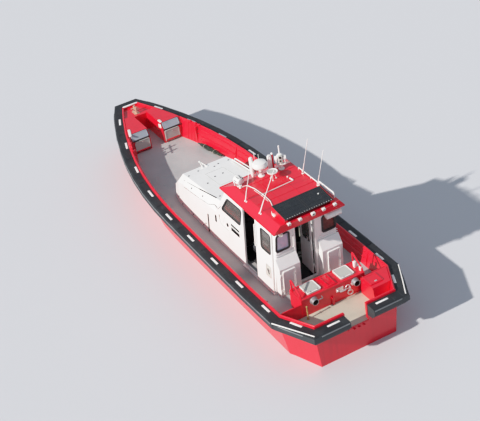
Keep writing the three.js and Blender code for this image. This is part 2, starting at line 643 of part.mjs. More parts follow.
// A vent that stands out of the casing's aft face, pointing aft.
function vent(y) {
  const foot = [[0, -8], [62, -8], [62, 14], [50, 14]];
  const mouth = [[50, 70], [56, 78], [56, 96], [42, 96], [42, 30], [0, 30]];
  return turned([...foot, ...mouth], 18).rotateY(-Math.PI / 2).translate(CASING.x[0], y, DECK + 325);
}
function casing(barrels) {
  const { x, half, top, wall } = CASING;
  const outside = block(x, [-half, half], [DECK + SEAT_GAP, DECK + top]);
  const inner = half - wall;
  const inside = block([x[0] + wall, x[1] - wall], [-inner, inner], [DECK - 20, DECK + top - wall]);
  const hatchwayHeights = [DECK + 300, DECK + 600];
  const hatchways = SIDES.map(({ s }) => block(HATCHWAY.x, span(s, ...HATCHWAY.y), hatchwayHeights));
  const wings = SIDES.map(({ s }) => {
    const [foot, head] = [DECK + 1.5, DECK + 345];
    const outboard = [[wellHalf(x[0], DECK) - 3, foot], [wellHalf(x[0], head) - 3, head]];
    return section(flip([[half - 10, foot], ...outboard, [half - 10, head]], s), x[0] + 4, x[0] + 28);
  });
  const guards = SIDES.map(({ s }) => {
    const line = above([[1240, top - 4], [1250, 745], [1205, 735], [900, 530], [888, top - 4]]);
    return tube(line.map(([along, z]) => [along, s * (half - 22), z]), 13);
  });
  const ribs = [-105, -35, 35, 105].map((y) =>
    block([x[0] + 40, x[1] - 60], [y - 6, y + 6], [DECK + top - 5, DECK + top + 12]),
  );
  const box = cut(outside, inside, ...hatchways);
  return join(box, ...wings, ...guards, ...ribs, vent(505), vent(-540), ...barrels);
}
const hatches = SIDES.map(({ side, s }) => {
  const [starboardEnd] = span(s, HATCH.inner, HATCH.inner + HATCH.length);
  const hung = hungPanel({
    at: [HATCH.aft + HATCH.width + BARREL.reach, starboardEnd, DECK + CASING.top],
    along: [0, 1, 0],
    across: [-1, 0, 0],
    length: HATCH.length,
    width: HATCH.width,
    thickness: HATCH.thick,
    corner: 40,
  });
  piece(`engine_hatch_${side}`, GREY_PANEL, hung.panel);
  return hung.barrels;
});
piece("engine_casing", RED, casing(hatches));
const ENGINE = { x: [1000, 2180], y: [110, 730], height: 690 };
const engineFloor = ENGINE_ROOM.floor + SEAT_GAP;
const bearer = block(ENGINE.x, [-ENGINE.y[1], ENGINE.y[1]], [engineFloor, engineFloor + 30]);
const engineBlocks = SIDES.map(({ s }) =>
  block(ENGINE.x, span(s, ...ENGINE.y), [engineFloor, engineFloor + ENGINE.height]),
);
piece("engines", DARK, join(bearer, ...engineBlocks));

// The towing hook between the vents.
function towHook() {
  const plate = block([-12, 0], [-120, 60], [-50, 50]);
  const arm = tube([[-6, 20, 0], [-90, 0, 0], [-100, -120, 5], [-30, -165, 0]], 17);
  const ring = new THREE.TorusGeometry(46, 11, 6, 16).rotateY(Math.PI / 2).translate(-30, -215, -6);
  return join(plate, arm, ring);
}
piece("tow_hook", STEEL, towHook()).position.set(CASING.x[0] - SEAT_GAP, -120, DECK + 300);

// The stern locker in the starboard quarter, with a sloping face and a lid.
const STERN_LOCKER = { aft: 215, aftTop: 300, fore: 775, inner: 640, top: 400 };
function sternLockerRing(z, aft) {
  const stops = [aft, STERN_LOCKER.fore];
  const outer = stops.map((x) => [x, -(wellHalf(x, Math.min(z, railTop(x))) - 4), z]);
  return [[aft, -STERN_LOCKER.inner, z], ...outer, [STERN_LOCKER.fore, -STERN_LOCKER.inner, z]];
}
const lockerLid = hungPanel({
  at: [STERN_LOCKER.fore - 25, -STERN_LOCKER.inner - 350, DECK + STERN_LOCKER.top],
  along: [0, 1, 0],
  across: [-1, 0, 0],
  length: 330,
  width: 330,
  thickness: 20,
});
const lockerFoot = sternLockerRing(DECK + SEAT_GAP, STERN_LOCKER.aft);
const lockerHead = sternLockerRing(DECK + STERN_LOCKER.top, STERN_LOCKER.aftTop);
const lockerBody = loft([lockerFoot, lockerHead], [0, 1]);
piece("stern_locker", RED, join(lockerBody, lockerLid.barrels));
piece("stern_locker_lid", RED, lockerLid.panel);

// The roof: a flat crown with sloping margins, hollow over the wheelhouse.
const ROOF = {
  foot: { x: [1520, 3920], half: 880 },
  crown: { x: [1455, 3470], half: 735 },
  edge: 22,
  hollow: { low: { x: [1770, 3800], half: 655 }, high: { x: [1700, 3420], half: 600 } },
};
function roof() {
  const ring = ({ x, half }, z) => [[x[0], -half, z], [x[1], -half, z], [x[1], half, z], [x[0], half, z]];
  const margin = ring(ROOF.foot, CABIN_TOP + ROOF.edge);
  const body = loft([ring(ROOF.foot, CABIN_TOP), margin, ring(ROOF.crown, ROOF_TOP)], [0, 1]);
  const { low, high } = ROOF.hollow;
  return cut(body, loft([ring(low, CABIN_TOP - 5), ring(high, ROOF_TOP - 40)], [0, 1]));
}
piece("roof", RED, roof());

// The dark panel on the aft end of the roof, on two white side rails.
const PANEL = { x: [1470, 2000], half: 590, aftUp: 2085, foreUp: 2150, thick: 24 };
function panelSlope(low, high, from, to) {
  const { x: [aft, fore], aftUp, foreUp } = PANEL;
  const outline = [[aft, aftUp + low], [fore, foreUp + low], [fore, foreUp + high], [aft, aftUp + high]];
  return profile(above(outline), from, to);
}
piece("roof_panel", DARK, panelSlope(0, PANEL.thick, -PANEL.half, PANEL.half));
function panelRails() {
  const [aft, fore] = PANEL.x;
  const crown = ROOF_TOP + SEAT_GAP;
  const [foreEdge, aftEdge] = [DECK + PANEL.foreUp - SEAT_GAP, DECK + PANEL.aftUp - SEAT_GAP];
  const foot = [[aft + 20, crown], [fore, crown], [fore, foreEdge], [aft + 20, aftEdge]];
  const rails = SIDES.map(({ s }) => {
    const across = (from, to) => span(s, PANEL.half + from, PANEL.half + to);
    return join(profile(foot, ...across(-60, 22)), panelSlope(-20, PANEL.thick + 14, ...across(1, 22)));
  });
  const beam = block([fore - 60, fore], [-PANEL.half, PANEL.half], [ROOF_TOP + SEAT_GAP, ROOF_TOP + 50]);
  return join(...rails, beam);
}
piece("panel_rails", WHITE, panelRails());

// Aerials: one name, place and side for each whip, all raked aft.
const AERIALS = [
  { name: "aerial_fore_port", x: 2880, y: 700 },
  { name: "aerial_aft_port", x: 2260, y: 700 },
  { name: "aerial_fore_starboard", x: 2880, y: -700 },
  { name: "aerial_aft_starboard", x: 2260, y: -700 },
];
function aerial() {
  const foot = turned([[0, 0], [34, 0], [34, 10], [20, 16], [20, 60], [0, 60]], 12);
  return join(foot, rod([0, 0, 40], [-100, 0, 300], 12), rod([-96, 0, 290], [-400, 0, 1070], 8));
}
AERIALS.forEach(({ name, x, y }) => piece(name, WHITE, aerial()).position.set(x, y, ROOF_TOP + SEAT_GAP));

// The gear at the fore end of the roof, each on its own foot.
function radar() {
  const mast = [rod([0, 0, 0], [0, 0, 190], 38, 12), block([-330, 90], [-220, 90], [0, 10])];
  const dome = turned([[0, 180], [150, 180], [205, 215], [212, 280], [180, 345], [90, 372], [0, 378]], 24);
  return join(...mast, dome, discAerial().translate(-240, -150, 0));
}
function discAerial() {
  const spots = [[-60, -50], [-60, 50], [70, 0]];
  const legs = spots.map(([x, y]) => rod([x, y, 5], [x * 0.5, y * 0.5, 170], 11));
  const feet = spots.map(([x, y]) => rod([x, y, 0], [x, y, 8], 26, 10));
  const disc = turned([[0, 160], [120, 160], [158, 180], [158, 200], [110, 226], [0, 234]], 22);
  return join(...legs, ...feet, disc);
}
piece("radar", WHITE, radar()).position.set(3370, 60, ROOF_TOP + SEAT_GAP);
function camera() {
  const foot = [block([-110, 80], [-80, 250], [0, 10]), rod([0, 0, 5], [0, 0, 190], 42, 14)];
  const head = new THREE.SphereGeometry(128, 18, 12).translate(0, 0, 285);
  const pole = rod([0, 30, 300], [0, 30, 620], 11);
  return join(...foot, head, pole, horn().translate(-40, 200, 0));
}
function horn() {
  const stand = [block([-60, 60], [-40, 40], [0, 10]), rod([0, 0, 5], [0, 0, 200], 18, 10)];
  const trumpet = turned([[0, 0], [30, 0], [34, 90], [58, 190], [72, 215], [0, 215]], 16);
  return geometryOf(join(...stand, trumpet.rotateY(Math.PI / 2).translate(-90, 0, 210)));
}
piece("night_camera", WHITE, camera()).position.set(3370, -440, ROOF_TOP + SEAT_GAP);
function searchlight() {
  const stand = [rod([0, 0, 0], [0, 0, 120], 22, 12), rod([0, 0, 0], [0, 0, 10], 60, 14)];
  const lamp = turned([[0, -70], [55, -70], [95, -10], [100, 90], [86, 90], [86, 60], [0, 60]], 18);
  return join(...stand, lamp.rotateY(Math.PI / 2).translate(0, 0, 205));
}
piece("searchlight", WHITE, searchlight()).position.set(3385, 540, ROOF_TOP + SEAT_GAP);

// Working lamps along the aft edge of the roof, on one bar.
const LAMPS = [540, 270, -50, -310, -590];
function lampBar() {
  const bar = block([-18, 0], [-640, 590], [0, 26]);
  const lamps = LAMPS.flatMap((y) => [
    block([-62, -6], [y - 38, y + 38], [2, 58]),
    rod([-66, y, 30], [-40, y, 30], 26, 12),
  ]);
  return join(bar, ...lamps);
}
piece("lamp_bar", WHITE, lampBar()).position.set(ROOF.crown.x[0] + 4, 0, ROOF_TOP - 40);

// The life raft canister under the roof's aft edge, on the starboard side of the aft wall.
function canister() {
  const drum = rod([0, -170, 0], [0, 170, 0], 82, 16);
  const cradle = [-95, 95].map((y) => block([0, 101.7], [y - 15, y + 15], [-40, 40]));
  return join(drum, ...cradle);
}
const CANISTER = { x: 1635, y: -640, up: 1640 };
piece("raft_canister", WHITE, canister()).position.set(CANISTER.x, CANISTER.y, DECK + CANISTER.up);

// Inside: the helm console across the front, and two seats.
const CONSOLE = above([[3900, SEAT_GAP], [4350, SEAT_GAP], [4350, 830], [4180, 960], [3960, 900], [3860, 760]]);
piece("helm_console", DARK, profile(CONSOLE, -720, 720));
const SEAT = { x: 3050, y: 380, plinth: 60 };
function seats() {
  const each = SIDES.map(({ s }) => {
    const y = s * SEAT.y;
    const base = rod([0, y, SEAT.plinth - 5], [0, y, 340], 90, 14);
    const pan = block([-230, 240], [y - 220, y + 220], [330, 440]);
    const back = profile([[-230, 400], [-140, 400], [-230, 1130], [-300, 1130]], y - 210, y + 210);
    return join(base, pan, back);
  });
  return join(block([-260, 260], [-620, 620], [SEAT_GAP, SEAT.plinth]), ...each);
}
piece("helm_seats", DARK, seats()).position.set(SEAT.x, 0, DECK);

// Water jets: a housing on the transom, a steering nozzle that swings on it, and a bucket on the nozzle.
const JET = { y: 370, z: -212, steerX: -400, bucketX: -470 };
function jetHousing() {
  const flange = [[0, 0], [165, 0], [165, 26], [150, 36]];
  const body = turned([...flange, [105, 335], [92, 335], [92, 150], [0, 150]], 24);
  const lugs = [1, -1].map((up) => {
    const rows = [162, 178].map((z) => up * z);
    const plate = block([JET.steerX - 28, -120], [-34, 34], rows);
    const outline = [[-60, 150], [-60, 178], [-300, 178], [-300, 165], [-200, 100], [-60, 100]];
    const web = profile(outline.map(([x, z]) => [x, up * z]), -14, 14);
    return join(plate, web, rod([JET.steerX, 0, up * 153], [JET.steerX, 0, up * 170], 12, 12));
  });
  return join(body.rotateY(-Math.PI / 2), ...lugs);
}
function nozzle() {
  const loop = [[138, 0], [150, 0], [150, 80], [118, 175], [106, 175], [134, 82], [138, 0]];
  const closed = turned(loop, 24).rotateY(-Math.PI / 2).translate(JET.steerX + 15, 0, 0);
  const bosses = [1, -1].map((up) => rod([JET.steerX, 0, up * 143], [JET.steerX, 0, up * 152.6], 26, 14));
  const pins = [1, -1].map((out) => rod([JET.bucketX, out * 128, 0], [JET.bucketX, out * 182, 0], 20, 14));
  return join(closed, ...bosses, ...pins);
}
function bucket() {
  const arc = (radius, from, to, steps) =>
    Array.from({ length: steps + 1 }, (_, i) => {
      const a = ((from + ((to - from) * i) / steps) * Math.PI) / 180;
      return [JET.bucketX - radius * Math.cos(a), radius * Math.sin(a)];
    });
  const scoop = profile([...arc(188, 25, 95, 7), ...arc(202, 95, 25, 7)], -182, 182);
  const arms = [1, -1].map((out) => {
    const cheek = [...arc(202, 25, 95, 7), ...arc(36, 150, 330, 6)];
    const plate = profile(cheek, ...span(out, 168, 182));
    return cut(plate, rod([JET.bucketX, out * 150, 0], [JET.bucketX, out * 200, 0], 20.7, 14));
  });
  return join(scoop, ...arms);
}
SIDES.forEach(({ side, s }) => {
  const jet = new THREE.Group();
  jet.position.set(-SEAT_GAP, s * JET.y, JET.z);
  piece(`jet_housing_${side}`, CAST, jetHousing(), jet);
  piece(`jet_nozzle_${side}`, CAST, nozzle(), jet);
  piece(`jet_bucket_${side}`, STEEL, bucket(), jet);
  boat.add(jet);
});

export default boat;
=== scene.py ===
"""Finishes, small fittings, light and viewpoint for the inshore rescue boat.

Metres, in the boat's own frame: +X forward, +Y to port, +Z up, and the water at zero.
"""

import json
import math
import random

import bmesh
import bpy
from mathutils import Matrix, Vector
from mathutils.bvhtree import BVHTree


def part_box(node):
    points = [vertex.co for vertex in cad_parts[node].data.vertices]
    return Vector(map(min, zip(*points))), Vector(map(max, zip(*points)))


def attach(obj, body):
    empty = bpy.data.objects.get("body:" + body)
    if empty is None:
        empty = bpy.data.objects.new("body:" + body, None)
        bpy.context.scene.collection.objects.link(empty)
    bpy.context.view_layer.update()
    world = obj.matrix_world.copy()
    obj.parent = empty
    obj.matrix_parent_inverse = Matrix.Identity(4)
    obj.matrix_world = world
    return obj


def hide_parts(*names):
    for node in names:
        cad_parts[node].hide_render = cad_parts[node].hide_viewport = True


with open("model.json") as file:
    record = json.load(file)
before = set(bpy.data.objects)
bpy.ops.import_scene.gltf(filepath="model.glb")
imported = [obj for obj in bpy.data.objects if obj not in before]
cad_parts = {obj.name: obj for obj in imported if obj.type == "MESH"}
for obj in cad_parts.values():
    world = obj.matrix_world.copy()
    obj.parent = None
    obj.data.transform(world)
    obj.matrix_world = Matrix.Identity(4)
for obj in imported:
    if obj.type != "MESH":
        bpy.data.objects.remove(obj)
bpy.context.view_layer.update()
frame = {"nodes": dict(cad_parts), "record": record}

DECK = 0.72
ROOF = 2.73
SIDES = {"port": 1, "starboard": -1}
UP = Vector((0, 0, 1))
AHEAD = Vector((1, 0, 0))
TO_PORT = Vector((0, 1, 0))
HERE = Matrix.Identity(4)
SAME_POINT = 1e-6
# Lines that look for a surface start this far out.
ABOVE_ALL = 6
BESIDE_ALL = 4


# Places. A spot is a point on a surface with the direction out of it. A place is a matrix
# that stands on a spot, with its Z out of the surface.
def at(x, y, z):
    return Matrix.Translation((x, y, z))


def turn(angle, axis):
    return Matrix.Rotation(angle, 4, axis)


skins = {}


def land(node, start, towards):
    """The spot where a line first meets a CAD piece."""
    if node not in skins:
        mesh = frame["nodes"][node].data
        faces = [tuple(face.vertices) for face in mesh.polygons]
        skins[node] = BVHTree.FromPolygons([v.co for v in mesh.vertices], faces)
    point, out, _, _ = skins[node].ray_cast(Vector(start), Vector(towards))
    if point is None:
        raise ValueError(f"nothing of {node} lies along {start} {towards}")
    return point, out


def top_of(node, x, y):
    return land(node, (x, y, ABOVE_ALL), -UP)


def side_of(node, x, z, s):
    return land(node, (x, BESIDE_ALL * s, z), TO_PORT * -s)


def seat(point, out, along):
    """A place on a point, with its Z out of the surface and its X along a direction."""
    z = Vector(out).normalized()
    x = (Vector(along) - z * z.dot(Vector(along))).normalized()
    place = Matrix((x, z.cross(x), z)).transposed().to_4x4()
    place.translation = Vector(point)
    return place


def settle(spot, along, sink=0.001):
    """A place on a spot, sunk a little so that what stands on it leaves no gap."""
    point, out = spot
    return seat(point - out * sink, out, along)


# Outlines and lines of points.
def oblong(width, length):
    """Corners of a rectangle about the place's own middle, width along X and length along Y."""
    w, h = width / 2, length / 2
    return [(-w, -h), (w, -h), (w, h), (-w, h)]


def around(middle, first, second, count):
    """Points round an ellipse, from its middle and its two half axes."""
    angles = [math.tau * k / count for k in range(count)]
    middle, first, second = Vector(middle), Vector(first), Vector(second)
    return [middle + first * math.cos(a) + second * math.sin(a) for a in angles]


# A rounded corner takes at most this share of the straight line on each side of it.
CORNER_SHARE = 0.45


def bend(points, radius, steps=4):
    """A line of points with its inner corners rounded."""
    points = [Vector(p) for p in points]
    line = [points[0]]
    for before, corner, after in zip(points, points[1:], points[2:]):
        back, on = before - corner, after - corner
        reach = min(radius, back.length * CORNER_SHARE, on.length * CORNER_SHARE)
        start, end = corner + back.normalized() * reach, corner + on.normalized() * reach
        for step in range(steps + 1):
            t = step / steps
            line.append(start * (1 - t) ** 2 + corner * 2 * t * (1 - t) + end * t**2)
    return line + [points[-1]]


# What plates and rims are made with.
def bevel(bm, geom, offset, segments=2, affect="EDGES"):
    made = bmesh.ops.bevel(
        bm, geom=list(geom), offset=offset, segments=segments, profile=0.5, material=-1, affect=affect
    )
    return made["verts"]


def inset(bm, face, width, **options):
    made = bmesh.ops.inset_region(bm, faces=[face], thickness=width, use_even_offset=True, **options)
    return made["faces"]


def lone_face(bm, corners, corner_radius, place):
    """One flat face with round corners, and the direction out of it."""
    verts = [bm.verts.new(place @ Vector((*corner, 0))) for corner in corners]
    face = bm.faces.new(verts)
    if corner_radius:
        face = bevel(bm, verts, corner_radius, 4, "VERTICES")[0].link_faces[0]
    return face, (place.to_3x3() @ UP).normalized()


def lift_faces(bm, faces, lift):
    """Gives flat faces a thickness, and returns the faces of the lifted side."""
    made = bmesh.ops.extrude_face_region(bm, geom=faces)["geom"]
    verts = [item for item in made if isinstance(item, bmesh.types.BMVert)]
    bmesh.ops.translate(bm, verts=verts, vec=lift)
    return [item for item in made if isinstance(item, bmesh.types.BMFace)]


class Build:
    """A mesh that is being built. The methods add closed shapes, and piece() ends the work."""

    def __init__(self):
        self.bm = bmesh.new()

    def pour(self, shape, place):
        """Adds a shape built on its own."""
        bmesh.ops.transform(shape, matrix=place, verts=shape.verts)
        mesh = bpy.data.meshes.new("shape")
        shape.to_mesh(mesh)
        shape.free()
        self.bm.from_mesh(mesh)
        bpy.data.meshes.remove(mesh)

    def box(self, low, high, soft=0.0, place=HERE):
        """A box between two corners, with its edges rounded."""
        low, high = Vector(low), Vector(high)
        local = Matrix.Translation((low + high) / 2) @ Matrix.Diagonal((*(high - low), 1))
        verts = bmesh.ops.create_cube(self.bm, size=1, matrix=local)["verts"]
        if soft:
            edges = dict.fromkeys(edge for vert in verts for edge in vert.link_edges)
            verts = bevel(self.bm, edges, soft)
        bmesh.ops.transform(self.bm, matrix=place, verts=verts)

    def rod(self, start, end, radius, end_radius=None, sides=16, place=HERE):
        """A round bar or cone between two points."""
        start, end = place @ Vector(start), place @ Vector(end)
        way = end - start
        aim = way.to_track_quat("Z", "Y").to_matrix().to_4x4()
        bmesh.ops.create_cone(
            self.bm,
            cap_ends=True,
            segments=sides,
            radius1=radius,
            radius2=radius if end_radius is None else end_radius,
            depth=way.length,
            matrix=Matrix.Translation((start + end) / 2) @ aim,
        )

    def ball(self, middle, radius, place=HERE):
        shape = place @ Matrix.Translation(middle)
        bmesh.ops.create_uvsphere(self.bm, u_segments=20, v_segments=12, radius=radius, matrix=shape)

    def turned(self, outline, place=HERE, sides=24):
        """A shape turned about the place's Z, from an outline of radius and height."""
        bm = bmesh.new()
        verts = [bm.verts.new((radius, 0, height)) for radius, height in outline]
        edges = [bm.edges.new(pair) for pair in zip(verts, verts[1:])]
        bmesh.ops.spin(
            bm,
            geom=verts + edges,
            cent=(0, 0, 0),
            axis=(0, 0, 1),
            angle=math.tau,
            steps=sides,
            use_merge=True,
        )
        bmesh.ops.remove_doubles(bm, verts=bm.verts, dist=SAME_POINT)
        self.pour(bm, place)

    def pipe(self, points, radius, closed=False, roundness=2, place=HERE):
        """A round tube along points."""
        curve = bpy.data.curves.new("route", "CURVE")
        curve.dimensions = "3D"
        curve.bevel_depth = radius
        curve.bevel_resolution = roundness
        curve.use_fill_caps = True
        line = curve.splines.new("POLY")
        line.points.add(len(points) - 1)
        for knot, point in zip(line.points, points):
            knot.co = (*point, 1)
        line.use_cyclic_u = closed
        carrier = bpy.data.objects.new("route", curve)
        mesh = bpy.data.meshes.new_from_object(carrier)
        tube = bmesh.new()
        tube.from_mesh(mesh)
        bmesh.ops.remove_doubles(tube, verts=tube.verts, dist=SAME_POINT)
        self.pour(tube, place)
        bpy.data.objects.remove(carrier)
        bpy.data.curves.remove(curve)
        bpy.data.meshes.remove(mesh)

    def plate(self, corners, thick, place, corner_radius=0.0, soft=0.0, border=0.0, sunk=0.0):
        """A flat plate on a place. A border leaves a raised edge round a sunken middle."""
        face, out = lone_face(self.bm, corners, corner_radius, place)
        (top,) = lift_faces(self.bm, [face], out * thick)
        edges = list(top.edges)
        if border:
            inset(self.bm, top, border)
            inset(self.bm, top, abs(sunk) * 0.7, depth=-sunk)
        if soft:
            bevel(self.bm, edges, soft)

    def rim(self, corners, corner_radius, inward, outward, thick, place, soft=0.004):
        """A flat ring round an opening, from inside its edge to outside it."""
        bm = self.bm
        face, out = lone_face(bm, corners, corner_radius, place)
        if outward:
            bmesh.ops.delete(bm, geom=inset(bm, face, -outward, use_boundary=True), context="FACES")
        band = inset(bm, face, outward + inward, use_boundary=True)
        bmesh.ops.delete(bm, geom=[face], context="FACES_ONLY")
        lifted = lift_faces(bm, band, out * thick)
        edges = dict.fromkeys(edge for face in lifted for edge in face.edges)
        outer = [edge for edge in edges if not all(face in lifted for face in edge.link_faces)]
        bevel(bm, [edge for edge in outer if len(edge.link_faces) == 2], soft)

    def rivets(self, spots, radius, proud):
        """Round-headed bolts on spots."""
        for point, out in spots:
            place = seat(point, out, AHEAD if abs(out.dot(AHEAD)) < 0.9 else TO_PORT)
            shoulder = (0, 0, proud * 0.6)
            self.rod((0, 0, -0.002), shoulder, radius, sides=10, place=place)
            self.rod(shoulder, (0, 0, proud), radius, radius * 0.6, sides=10, place=place)

    def piece(self, name, material, body="hull", replaces=(), smooth_degrees=35):
        """Turns what was built into a piece that rides on a body, and starts afresh."""
        bmesh.ops.recalc_face_normals(self.bm, faces=self.bm.faces)
        mesh = bpy.data.meshes.new(name)
        self.bm.to_mesh(mesh)
        self.bm.free()
        self.bm = bmesh.new()
        mesh.shade_smooth()
        mesh.set_sharp_from_angle(angle=math.radians(smooth_degrees))
        made = in_scene(name, mesh)
        mesh.materials.append(material)
        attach(made, body)
        if replaces:
            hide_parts(*replaces)
        return made


def in_scene(name, data):
    """A new object in the scene, from its mesh, lens or light."""
    made = bpy.data.objects.new(name, data)
    bpy.context.scene.collection.objects.link(made)
    return made


# Most pieces are built in this one, each after the last.
part = Build()


# Finishes. Each effect is a shader group, which gives a colour, a roughness and a height that
# change over the surface, and reads the boat's own metres.
class Wire:
    """A value inside a shader. It can be added, multiplied, stretched, or used to blend colours."""

    def __init__(self, tree, socket):
        self.tree = tree
        self.socket = socket

    def feed(self, socket):
        self.tree.links.new(self.socket, socket)

    def node(self, kind, inputs, output=0, **settings):
        """A wire from a new shader node that is fed by wires, numbers or colours."""
        made = self.tree.nodes.new(kind)
        for name, value in settings.items():
            setattr(made, name, value)
        for label, value in inputs.items():
            set_input(made.inputs[label], value)
        return Wire(self.tree, made.outputs[output])

    def combine(self, kind, other):
        return self.node("ShaderNodeMath", {0: self, 1: other}, operation=kind)

    def __add__(self, other):
        return self.combine("ADD", other)

    def __mul__(self, other):
        return self.combine("MULTIPLY", other)

    def span(self, low, high, to_low=0.0, to_high=1.0):
        """Stretches the value between two limits, and holds it there."""
        limits = {"From Min": low, "From Max": high, "To Min": to_low, "To Max": to_high}
        return self.node("ShaderNodeMapRange", {"Value": self, **limits})

    def blend(self, first, second):
        """A mix of two colours, in which this value is the share of the second."""
        return self.node("ShaderNodeMix", {0: self, 6: first, 7: second}, output=2, data_type="RGBA")

    def noise(self, scale, detail, stretch=None):
        """Cloudy noise from 0 to 1, with its size in patches per metre."""
        where = self
        if stretch:
            where = self.node("ShaderNodeMapping", {"Vector": self, "Scale": stretch})
        return self.node("ShaderNodeTexNoise", {"Vector": where, "Scale": scale, "Detail": detail})


def set_input(socket, value):
    if isinstance(value, Wire):
        value.feed(socket)
    elif isinstance(value, tuple):
        socket.default_value = (*value, 1)[: len(socket.default_value)]
    else:
        socket.default_value = value


def weathered_paint(where, colour, grime, amount, gloss):
    """Paint with faint clouds, rain streaks and a few dull patches."""
    cloud = where.noise(1.7, 5)
    streak = where.noise(9.0, 3, (1, 1, 0.07))
    speck = where.noise(38.0, 4)
    dirty = streak.span(0.48, 0.75) * cloud.span(0.4, 0.7) + speck.span(0.62, 0.8, 0, 0.35)
    share = dirty * amount
    tint = cloud.span(0.3, 0.7, 0, 0.1).blend(colour, grime)
    rough = speck.span(0.3, 0.8, 0, 0.16) + gloss + share * 0.3
    return share.blend(tint, grime), rough, speck + cloud


def gritty_deck(where, colour, dark, salt, grain):
    """Non-slip paint: fine grit, trodden patches and dried salt."""
    grit = where.node("ShaderNodeTexVoronoi", {"Vector": where, "Scale": grain}, "Distance")
    stone = grit.span(0.0, 0.7, 1, 0)
    trodden = where.noise(2.3, 6)
    fleck = where.noise(22.0, 3)
    colour = trodden.span(0.42, 0.72, 0, 0.4).blend(colour, dark)
    colour = fleck.span(0.66, 0.78, 0, 0.55).blend(colour, dark)
    colour = fleck.span(0.2, 0.36, 0.4, 0).blend(colour, salt)
    colour = (stone * 0.16).blend(colour, salt)
    return colour, trodden.span(0.3, 0.7, 0.95, 0.72), stone


def scuffed_rubber(where, colour, bloom, amount):
    """Rubber or soft plastic with scrapes along it, and a dusty bloom away from its top."""
    patch = where.noise(3.1, 6)
    scrape = where.noise(16.0, 4, (0.25, 1.4, 2.2))
    pore = where.noise(130.0, 2)
    normal = Wire(where.tree, where.socket.node.outputs["Normal"])
    dusty = where.node("ShaderNodeSeparateXYZ", {0: normal}, "Z").span(0.85, 0.2, 0, 0.7)
    share = (patch.span(0.45, 0.8, 0, 0.6) + scrape.span(0.6, 0.75, 0, 0.7) + dusty) * amount
    return share.blend(colour, bloom), patch.span(0.3, 0.75, 0.5, 0.85), pore + scrape * 0.6


def handled_metal(where, colour, tarnish, amount, gloss):
    """Metal with fine grinding marks and dull finger-worn patches."""
    patch = where.noise(14.0, 6)
    mark = where.noise(60.0, 2, (1, 6, 1))
    share = patch.span(0.46, 0.7) * amount
    return share.blend(colour, tarnish), patch.span(0.3, 0.8, 0, 0.25) + gloss, mark + patch


def corded(where, colour, faded, threads):
    """Twisted cord or woven cloth: crossing threads, with light and dark fibres."""
    wave = {"Vector": where, "Scale": threads, "Distortion": 1.2}
    ways = ("DIAGONAL", "Z")
    warp, weft = (where.node("ShaderNodeTexWave", wave, "Fac", bands_direction=way) for way in ways)
    thread = warp.combine("MAXIMUM", weft)
    fade = where.noise(11.0, 5)
    colour = fade.span(0.4, 0.7, 0, 0.8).blend(colour, faded)
    colour = thread.span(0, 1, 0.25, 0).blend(colour, (0.01, 0.01, 0.01))
    return colour, fade.span(0.3, 0.7, 0.8, 0.95), thread


MID, DIM = (0.5, 0.5, 0.5), (0.2, 0.2, 0.2)
EFFECT_TAKES = {
    weathered_paint: {"Colour": MID, "Grime": DIM, "Amount": 0.3, "Gloss": 0.3},
    gritty_deck: {"Colour": MID, "Dark": DIM, "Salt": MID, "Grain": 240.0},
    scuffed_rubber: {"Colour": DIM, "Bloom": MID, "Amount": 0.5},
    handled_metal: {"Colour": MID, "Tarnish": DIM, "Amount": 0.3, "Gloss": 0.3},
    corded: {"Colour": DIM, "Faded": MID, "Threads": 160.0},
}
EFFECT_GIVES = {"Colour": "NodeSocketColor", "Roughness": "NodeSocketFloat", "Height": "NodeSocketFloat"}


def shader_group(effect, takes):
    """An effect as a shader group with named inputs and outputs."""
    tree = bpy.data.node_groups.new(effect.__name__.replace("_", " "), "ShaderNodeTree")
    for label, value in takes.items():
        kind = "NodeSocketColor" if isinstance(value, tuple) else "NodeSocketFloat"
        set_input(tree.interface.new_socket(label, in_out="INPUT", socket_type=kind), value)
    for label, kind in EFFECT_GIVES.items():
        tree.interface.new_socket(label, in_out="OUTPUT", socket_type=kind)
    inside = tree.nodes.new("NodeGroupInput").outputs
    outside = tree.nodes.new("NodeGroupOutput").inputs
    where = Wire(tree, tree.nodes.new("ShaderNodeTexCoord").outputs["Object"])
    gives = effect(where, *(Wire(tree, inside[label]) for label in takes))
    for label, wire in zip(EFFECT_GIVES, gives):
        wire.feed(outside[label])
    return tree


groups = {effect: shader_group(effect, takes) for effect, takes in EFFECT_TAKES.items()}
first_of_slot = {}


def finish(name, slot, effect, relief, *values, **settings):
    """A finish: an effect, its relief's depth, the effect's values in order, and shader settings."""
    made = bpy.data.materials.new(name)
    made.use_nodes = True
    made["slot"] = slot
    first_of_slot.setdefault(slot, made)
    tree = made.node_tree
    look = tree.nodes.new("ShaderNodeGroup")
    look.node_tree = groups[effect]
    for label, value in zip(EFFECT_TAKES[effect], values):
        set_input(look.inputs[label], value)
    colour, rough, height = (Wire(tree, look.outputs[label]) for label in EFFECT_GIVES)
    inputs = {"Base Color": colour, "Roughness": rough}
    if relief:
        bump = {"Distance": relief, "Strength": 0.6, "Height": height}
        inputs["Normal"] = height.node("ShaderNodeBump", bump)
    for label, value in settings.items():
        inputs[label.replace("_", " ")] = value
    for label, value in inputs.items():
        set_input(tree.nodes["Principled BSDF"].inputs[label], value)
    return made


